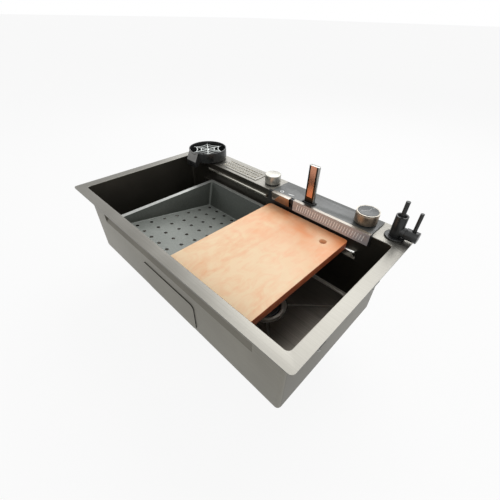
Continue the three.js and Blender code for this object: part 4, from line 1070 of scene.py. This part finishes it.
@dataclass
class CupRinser(SubAssembly):
    """Dish with its beak, press grid, nozzle and spring, and the shank below the deck."""

    hood_root: float = 0.1130
    hood_tip: float = 0.1000
    hood_bend: float = 0.0080
    hood_low: float = 0.28
    droop: float = 0.0055
    travel: float = 0.0040
    hub: tuple[float, float] = (-0.285, 0.1690)
    hub_radius: float = 0.0062
    hood_slack: float = 0.0002
    hood_turn: float = 0.15

    def build(self) -> None:
        """Makes every piece of the rinser."""
        self.body()
        grid = self.zoned("rinser_grid", [WEB_STEEL, HUB_HIGHLIGHT_STEEL], self.hub_zone, Ease.FINE)
        seat(grid, "rinser_grid")
        self.dress("rinser_nozzle", BLACK_PLASTIC, "black_plastic", Ease.FINE)
        spring = self.dress("rinser_spring", BRIGHT_STEEL, "spring_wire")
        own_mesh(spring)
        self.dress("rinser_shank", BRASS, "brass_fitting", Ease.SOFT)
        self.dress("rinser_nut", BLACK_PLASTIC, "black_plastic", Ease.CAST)

    def body(self) -> None:
        """The dish, whose beak slopes down from the lip and droops at its tip."""
        shape = merged_copy("rinser_body")
        for place in (self.hood_root, (self.hood_root + self.hood_tip) / 2):
            split(shape, 1, place)
        for vertex in shape.verts:
            share = (self.hood_root - vertex.co.y) / (self.hood_root - self.hood_tip)
            if share > 0.0:
                vertex.co.z = self.drooped(vertex.co.z, share)
        kinds = [BLACK_COAT, LIT_HOOD_COAT]
        piece = self.zoned("rinser_body", kinds, self.hood_zone, Ease.DISH, 3, shape=shape)
        seat(piece, "rinser_body")

    def drooped(self, height: float, share: float) -> float:
        """Height of a point of the beak once it slopes and droops.

        Args:
            height: Its height on the plain beak.
            share: How far out it lies, 0 at the root and 1 at the tip.

        Returns:
            Its height on the worked beak.
        """
        if height > self.hood_bend:
            tall = 1.0 - share * (1.0 - self.hood_low)
            return self.hood_bend + (height - self.hood_bend) * tall
        return height - self.droop * share

    def hub_zone(self, centre: Vector, normal: Vector) -> int:
        """Tells the top of the hub, which takes a painted highlight, from the bars of the press grid.

        Args:
            centre: Middle of the face.
            normal: Its direction.

        Returns:
            1 on the top of the hub, else 0.
        """
        reach = math.hypot(centre.x - self.hub[0], centre.y - self.hub[1])
        return int(reach < self.hub_radius and normal.z > BARELY)

    def hood_zone(self, centre: Vector, normal: Vector) -> int:
        """Tells the top of the beak, which takes painted light and highlight, from the rest of the dish.

        Args:
            centre: Middle of the face.
            normal: Its direction.

        Returns:
            1 on the top of the beak, else 0.
        """
        on_beak = centre.y < self.hood_root + self.hood_slack and centre.z > 0.0
        return int(on_beak and normal.z > self.hood_turn and normal.y < BARELY)


@dataclass
class DripGrille(SubAssembly):
    """Slotted grille over its tray."""

    def build(self) -> None:
        """Makes the grille and the tray."""
        grille = self.zoned("drip_grille", [RIM_STEEL, LIT_TRAY_STEEL], self.slot_wall, Ease.CRISP)
        seat(grille, "drip_grille")
        self.dress("drip_tray", LIT_TRAY_STEEL, "dark_sheet", Ease.FINE)

    def slot_wall(self, centre: Vector, normal: Vector) -> int:
        """Tells the walls of the slots, which take painted light, from the plate.

        Args:
            centre: Middle of the face.
            normal: Its direction.

        Returns:
            1 on an upright face, else 0.
        """
        return int(abs(normal.z) < LEANING)


@dataclass
class LeftKnob(SubAssembly):
    """Polished drain knob on its dark base."""

    def build(self) -> None:
        """Makes knob, base and nut."""
        self.dress("drain_knob", SATIN_STEEL, "bright_steel", Ease.FINE)
        self.dress("drain_knob_base", BLACK_COAT, "black_metal", Ease.FINE)
        self.dress("drain_knob_nut", GREY_PLASTIC, "grey_plastic", Ease.CAST)


@dataclass
class Controls(SubAssembly):
    """Glass panel and the right knob with its valve."""

    def build(self) -> None:
        """Makes panel, knob and valve."""
        self.dress("glass_panel", PANEL_GLASS, "black_glass", Ease.SOFT)
        self.dress("mixer_knob_base", BLACK_COAT, "black_metal", Ease.FINE)
        self.dress("mixer_knob", KNOB_STEEL, "gunmetal_knob", Ease.FINE)
        self.dress("mixer_knob_ring", TRIM_STEEL, "bright_steel", Ease.CRISP)
        self.dress("mixer_knob_glass", KNOB_GLASS, "black_glass", Ease.FINE)
        self.dress("mixer_valve", BRASS, "brass_fitting", Ease.CAST)
        self.dress("mixer_valve_nut", BRASS, "brass_fitting", Ease.CAST)


class OutletZone(IntEnum):
    """Parts of an outlet that look different, in the order of their materials."""

    PLATE = 0
    SLOT_HIGHLIGHT = 1
    FOLD = 2


@dataclass
class Outlets(SubAssembly):
    """Housing in the rear wall with the rain plate and the waterfall spout."""

    slots_across: tuple[float, float] = (0.0930, 0.2960)
    slots_up: tuple[float, float] = (-0.0180, 0.0010)
    slot_turn: float = 0.92
    fold_level: float = 0.0030
    fin_count: int = 28
    fin_pitch: float = 0.0068
    fin_size: tuple[float, float, float] = (0.0017, 0.0010, 0.0164)
    fin_lean: float = 0.0031
    fin_sink: float = 0.0001
    fin_level: float = -0.0080

    def build(self) -> None:
        """Makes housing, rain plate and spout."""
        self.dress("outlet_housing", BLACK_PLASTIC, "black_plastic", Ease.FINE)
        kinds = [SPRAY_STEEL, SLOT_HIGHLIGHT_STEEL, FOLD_STEEL]
        piece = self.zoned("rain_plate", kinds, self.slot_zone, Ease.FOLDED, 1)
        seat(piece, "rain_plate")
        kinds = [MIRROR_STEEL, SLOT_HIGHLIGHT_STEEL, FOLD_STEEL]
        spout = self.zoned("waterfall_spout", kinds, self.slot_zone, Ease.FINE)
        seat(spout, "waterfall_spout")
        self.fins()

    def fins(self) -> None:
        """Pale fins that stand in the slots of the rain plate, held at both ends: a painted highlight of the
        slots.
        """
        low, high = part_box("rain_plate")
        shape = bmesh.new()
        for number in range(self.fin_count):
            middle = (low[0] + high[0]) / 2 + (number - (self.fin_count - 1) / 2) * self.fin_pitch
            for vertex in bmesh.ops.create_cube(shape, size=1.0)["verts"]:
                across, deep, up = vertex.co
                vertex.co = Vector((
                    middle + across * self.fin_size[0] + up * self.fin_lean,
                    low[1] + self.fin_sink + (deep + 0.5) * self.fin_size[1],
                    self.fin_level + up * self.fin_size[2],
                ))
        piece = placed("rain_fins", shape, self.finish(SLOT_HIGHLIGHT_STEEL))
        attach(piece, frame["nodes"]["rain_plate"]["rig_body"])
        LOG.info("%s stand in the rain plate", piece.name)

    def slot_zone(self, centre: Vector, normal: Vector) -> int:
        """Tells an outlet's slot walls, which take a painted highlight, and its folded top from its plate.

        Args:
            centre: Middle of the face.
            normal: Its direction.

        Returns:
            Number of the material.
        """
        if normal.z > MOSTLY and centre.z > self.fold_level:
            return OutletZone.FOLD
        low, high = self.slots_up
        among = self.slots_across[0] < centre.x < self.slots_across[1] and low < centre.z < high
        return OutletZone.SLOT_HIGHLIGHT if among and abs(normal.y) < self.slot_turn else OutletZone.PLATE


class BladeZone(IntEnum):
    """Parts of the blade that look different, in the order of their materials."""

    STEEL = 0
    BOARD_REFLECTION = 1
    DARK_REFLECTION = 2


@dataclass
class Wand(SubAssembly):
    """Pull-out spray blade in its collar."""

    reflection_band: tuple[float, float] = (0.1158, 0.1314)
    foot: float = 0.0240

    def build(self) -> None:
        """Makes blade, collar and nut."""
        kinds = [BRIGHT_STEEL, BOARD_REFLECTION_STEEL, DARK_REFLECTION_STEEL]
        cuts = ((0, self.reflection_band[0]), (0, self.reflection_band[1]), (2, self.foot))
        piece = self.zoned("wand_body", kinds, self.zone, Ease.FINE, cuts=cuts)
        seat(piece, "wand_body")
        self.dress("wand_collar", BLACK_PLASTIC, "black_plastic", Ease.SOFT)
        self.dress("wand_nut", GREY_PLASTIC, "grey_plastic", Ease.CAST)

    def zone(self, centre: Vector, normal: Vector) -> int:
        """Which finish a face of the blade takes: painted reflections on its front, back and left side.

        Args:
            centre: Middle of the face.
            normal: Its direction.

        Returns:
            Number of the material.
        """
        # Front and back take a painted board reflection in the middle band and a painted dark reflection at
        # the margins; the left side takes the dark one too.
        if abs(normal.y) > FACING and abs(normal.z) < 1.0 - FACING:
            reflected = self.reflection_band[0] < centre.x < self.reflection_band[1] and centre.z > self.foot
            return BladeZone.BOARD_REFLECTION if reflected else BladeZone.DARK_REFLECTION
        return BladeZone.DARK_REFLECTION if normal.x < -LEANING else BladeZone.STEEL


@dataclass
class Tap(SubAssembly):
    """Black tap with a top pin and a side lever."""

    def build(self) -> None:
        """Makes every piece of the tap."""
        for part in ("flange", "body", "top_pin", "side_cap", "side_pin"):
            self.dress(f"tap_{part}", BLACK_COAT, "black_metal", Ease.CAST)
        self.dress("tap_nut", BRASS, "brass_fitting", Ease.CAST)


class SheetZone(IntEnum):
    """Parts of the colander that look different, in the order of their materials."""

    WALL = 0
    FLANGE = 1
    FLOOR = 2
    HOLE = 3
    LIP_HIGHLIGHT = 4


@dataclass
class Accessories(SubAssembly):
    """Colander and cutting board on the rest beads."""

    flange_level: float = -0.0501
    lip_fall: float = 0.0005
    lip_turn: float = 0.95
    wall_top: float = 0.0100
    floor_level: float = -0.10397
    floor_slope: float = -0.185
    floor_sheet: float = 0.0010
    hole_wear: float = 1.22
    board_hole: tuple[float, float] = (0.217, 0.0973)
    board_hole_reach: float = 0.0120
    board_edge_turn: float = 0.75

    def build(self) -> None:
        """Makes colander and board."""
        finishes = [SHADED_SLATE_WALL, LIT_SLATE_FLANGE, LIT_SLATE_FLOOR, HOLE_SHADE, LIP_HIGHLIGHT_STEEL]
        shape = self.worn_holes(merged_copy("colander"))
        piece = self.zoned("colander", finishes, self.sheet_zone, Ease.SOFT, 1, shape=shape)
        seat(piece, "colander")
        piece = self.zoned("cutting_board", [BOARD_WOOD, BOARD_EDGE], self.board_zone, Ease.BOARD, 3)
        seat(piece, "cutting_board")

    def worn_holes(self, shape: BMesh) -> BMesh:
        """The colander's sheet with its drain holes widened to their rounded rims.

        Args:
            shape: The sheet.

        Returns:
            The same bmesh.
        """
        shape.normal_update()
        zones = {face: self.sheet_zone(face.calc_center_median(), face.normal) for face in shape.faces}
        walls = dict.fromkeys(face for face, zone in zones.items() if zone == SheetZone.HOLE)
        while walls:
            hole, open_faces = {}, [walls.popitem()[0]]
            while open_faces:
                face = open_faces.pop()
                hole.update(dict.fromkeys(face.verts))
                for other in [other for edge in face.edges for other in edge.link_faces]:
                    if other in walls:
                        del walls[other]
                        open_faces.append(other)
            middle = sum((vertex.co for vertex in hole), Vector()) / len(hole)
            for vertex in hole:
                vertex.co.x = middle.x + (vertex.co.x - middle.x) * self.hole_wear
                vertex.co.y = middle.y + (vertex.co.y - middle.y) * self.hole_wear
        return shape

    def sheet_zone(self, centre: Vector, normal: Vector) -> int:
        """Which finish a face of the colander takes.

        Args:
            centre: Middle of the face.
            normal: Its direction.

        Returns:
            Number of the material.
        """
        # The flange's rounded lip takes a painted highlight.
        if centre.z > self.flange_level - self.lip_fall and LEANING < normal.z < self.lip_turn:
            return SheetZone.LIP_HIGHLIGHT
        # Flange and floor take the sheet lightened as painted light, the walls the sheet darkened as painted
        # shade.
        if centre.z > self.flange_level:
            return SheetZone.FLANGE
        if abs(normal.z) > FACING and centre.z < self.flange_level - self.wall_top:
            return SheetZone.FLOOR
        above_floor = centre.z - self.floor_level - self.floor_slope * centre.y
        at_hole = abs(normal.z) < LEANING and abs(above_floor) < self.floor_sheet
        return SheetZone.HOLE if at_hole else SheetZone.WALL

    def board_zone(self, centre: Vector, normal: Vector) -> int:
        """Tells the board's dark outer edge from its faces and its hole.

        Args:
            centre: Middle of the face.
            normal: Its direction.

        Returns:
            1 on the outer edge, else 0.
        """
        from_hole = math.hypot(centre.x - self.board_hole[0], centre.y - self.board_hole[1])
        return int(abs(normal.z) < self.board_edge_turn and from_hole > self.board_hole_reach)


@dataclass
class Drain(SubAssembly):
    """Drain flange, cover and the waste fittings under the bowl, with the overflow."""

    middle: tuple[float, float] = (0.1600, -0.0280)
    highlight_rings: tuple[tuple[float, float], ...] = ((0.0535, 0.0580), (0.0400, 0.0450))

    def build(self) -> None:
        """Makes every piece of drain and overflow."""
        flange = self.zoned("drain_flange", [DISH_AND_CREASE_GLINT_STEEL, HIGHLIGHT_STEEL], self.ring_zone)
        seat(flange, "drain_flange")
        self.dress("drain_cover", DARK_SHEET, "dark_sheet", Ease.FINE)
        self.dress("drain_gasket", GASKET_RUBBER, "gasket_rubber", Ease.CRISP)
        for part in ("drain_nut", "drain_body", "tailpiece", "overflow_elbow", "overflow_pipe"):
            self.dress(part, GREY_PLASTIC, "grey_plastic", Ease.FINE)
        self.dress("overflow_cover", BRIGHT_STEEL, "bright_steel", Ease.FINE)

    def ring_zone(self, centre: Vector, normal: Vector) -> int:
        """Tells the drain flange's rings, which take painted highlights, from its dish.

        Args:
            centre: Middle of the face.
            normal: Its direction.

        Returns:
            1 on a ring with painted highlight, else 0.
        """
        reach = math.hypot(centre.x - self.middle[0], centre.y - self.middle[1])
        return int(normal.z > 0.0 and any(low < reach < high for low, high in self.highlight_rings))


@dataclass
class Clips(SubAssembly):
    """Worktop clips with their screws."""

    def build(self) -> None:
        """Makes the four clips and screws."""
        for end in ("front", "rear"):
            for side in ("left", "right"):
                self.dress(f"clip_{end}_{side}", DARK_SHEET, "dark_sheet", Ease.FINE)
                self.dress(f"clip_screw_{end}_{side}", BRIGHT_STEEL, "bright_steel", Ease.FINE)


# ------------------------------------------------------------------ floor, light and camera
@dataclass(frozen=True)
class Lamp:
    """A square soft lamp that looks at the bowl, with its side in metres and its power in watts."""

    name: str
    place: tuple[float, float, float]
    side: float
    power: float

    def build(self) -> None:
        """Hangs the lamp, which the camera doesn't see."""
        data = bpy.data.lights.new(self.name, "AREA")
        data.size = self.side
        data.energy = self.power
        lamp = bpy.data.objects.new(self.name, data)
        lamp.location = self.place
        lamp.visible_camera = False
        lamp.rotation_euler = Vector(self.place).to_track_quat("Z", "Y").to_euler()
        bpy.context.scene.collection.objects.link(lamp)


@dataclass
class Stage:
    """Pale floor, soft lights and the camera."""

    camera_place: tuple[float, float, float] = (460.8, -401.1, 372.7)
    camera_turn: tuple[float, float, float] = (50.314, -1.125, 44.414)
    focal_pixels: float = 286.6
    image_pixels: float = 500.0
    middle_pixel: tuple[float, float] = (251.05, 251.7)
    sensor: float = 36.0
    nearest: float = 0.01
    floor_drop: float = 0.0005
    floor_reach: float = 60.0
    floor_colour: Colour = (0.86, 0.86, 0.86, 1.0)
    floor_rough: float = 0.9
    floor_seen: float = 0.9
    floor_mirrored: float = 0.5
    world_light: Colour = (0.4, 0.4, 0.4, 1.0)
    world_seen: Colour = (1.0, 1.0, 1.0, 1.0)
    lamps: tuple[Lamp, ...] = (
        Lamp("back lamp", (-0.35, 1.45, 1.8), 1.8, 34.0),
        Lamp("left lamp", (-1.6, 1.3, 0.8), 0.9, 4.0),
        Lamp("front lamp", (1.3, -1.4, 1.3), 1.8, 8.0),
    )

    def build(self) -> None:
        """Places floor, world, lamps and camera."""
        self.floor(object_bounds()[0][2] - self.floor_drop)
        self.world()
        for lamp in self.lamps:
            lamp.build()
        self.camera()

    def floor(self, level: float) -> None:
        """A pale floor that brightens where the camera or a gloss sees it.

        Args:
            level: Its height.
        """
        shape = bmesh.new()
        bmesh.ops.create_grid(shape, x_segments=1, y_segments=1, size=self.floor_reach)
        bmesh.ops.translate(shape, verts=shape.verts, vec=(0.0, 0.0, level))
        material, tree, shader = blank_material("pale floor")
        shader.inputs["Base Color"].default_value = self.floor_colour
        shader.inputs["Roughness"].default_value = self.floor_rough
        path = tree.nodes.new("ShaderNodeLightPath")
        glow = tree.nodes.new("ShaderNodeEmission")
        mix = tree.nodes.new("ShaderNodeMixShader")
        seen = math_node(tree, "MULTIPLY", path.outputs["Is Camera Ray"], self.floor_seen)
        mirrored = math_node(tree, "MULTIPLY", path.outputs["Is Glossy Ray"], self.floor_mirrored)
        tree.links.new(math_node(tree, "MAXIMUM", seen, mirrored), mix.inputs["Fac"])
        tree.links.new(shader.outputs["BSDF"], mix.inputs[1])
        tree.links.new(glow.outputs["Emission"], mix.inputs[2])
        tree.links.new(mix.outputs["Shader"], tree.nodes["Material Output"].inputs["Surface"])
        floor = placed("floor", shape, material)
        floor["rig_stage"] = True

    def world(self) -> None:
        """White behind the object, a plainer grey as light."""
        world = bpy.data.worlds.new("studio")
        world.use_nodes = True
        tree = world.node_tree
        back = tree.nodes["Background"]
        path = tree.nodes.new("ShaderNodeLightPath")
        mix = tree.nodes.new("ShaderNodeMix")
        mix.data_type = "RGBA"
        mix.inputs["A"].default_value = self.world_light
        mix.inputs["B"].default_value = self.world_seen
        seen = math_node(tree, "MAXIMUM", path.outputs["Is Camera Ray"], path.outputs["Is Glossy Ray"])
        tree.links.new(seen, mix.inputs["Factor"])
        tree.links.new(mix.outputs["Result"], back.inputs["Color"])
        bpy.context.scene.world = world

    def camera(self) -> None:
        """The camera at the photograph's place, turn and frame."""
        data = bpy.data.cameras.new("camera")
        data.sensor_width = self.sensor
        data.lens = self.focal_pixels * data.sensor_width / self.image_pixels
        half = self.image_pixels / 2
        data.shift_x = (half - self.middle_pixel[0]) / self.image_pixels
        data.shift_y = (self.middle_pixel[1] - half) / self.image_pixels
        data.clip_start = self.nearest
        camera = bpy.data.objects.new("camera", data)
        camera.location = mm(*self.camera_place)
        camera.rotation_euler = Euler([math.radians(turn) for turn in self.camera_turn])
        bpy.context.scene.collection.objects.link(camera)
        bpy.context.scene.camera = camera


def main() -> None:
    """Builds the stage and every sub-assembly."""
    logging.basicConfig(level=logging.INFO, format="%(name)s: %(message)s")
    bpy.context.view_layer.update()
    bpy.context.scene.view_settings.view_transform = "Standard"
    Stage().build()
    parts = (Shell, CupRinser, DripGrille, LeftKnob, Controls, Outlets, Wand, Tap, Accessories, Drain, Clips)
    for part in parts:
        part().build()


if __name__ == "__main__":
    main()
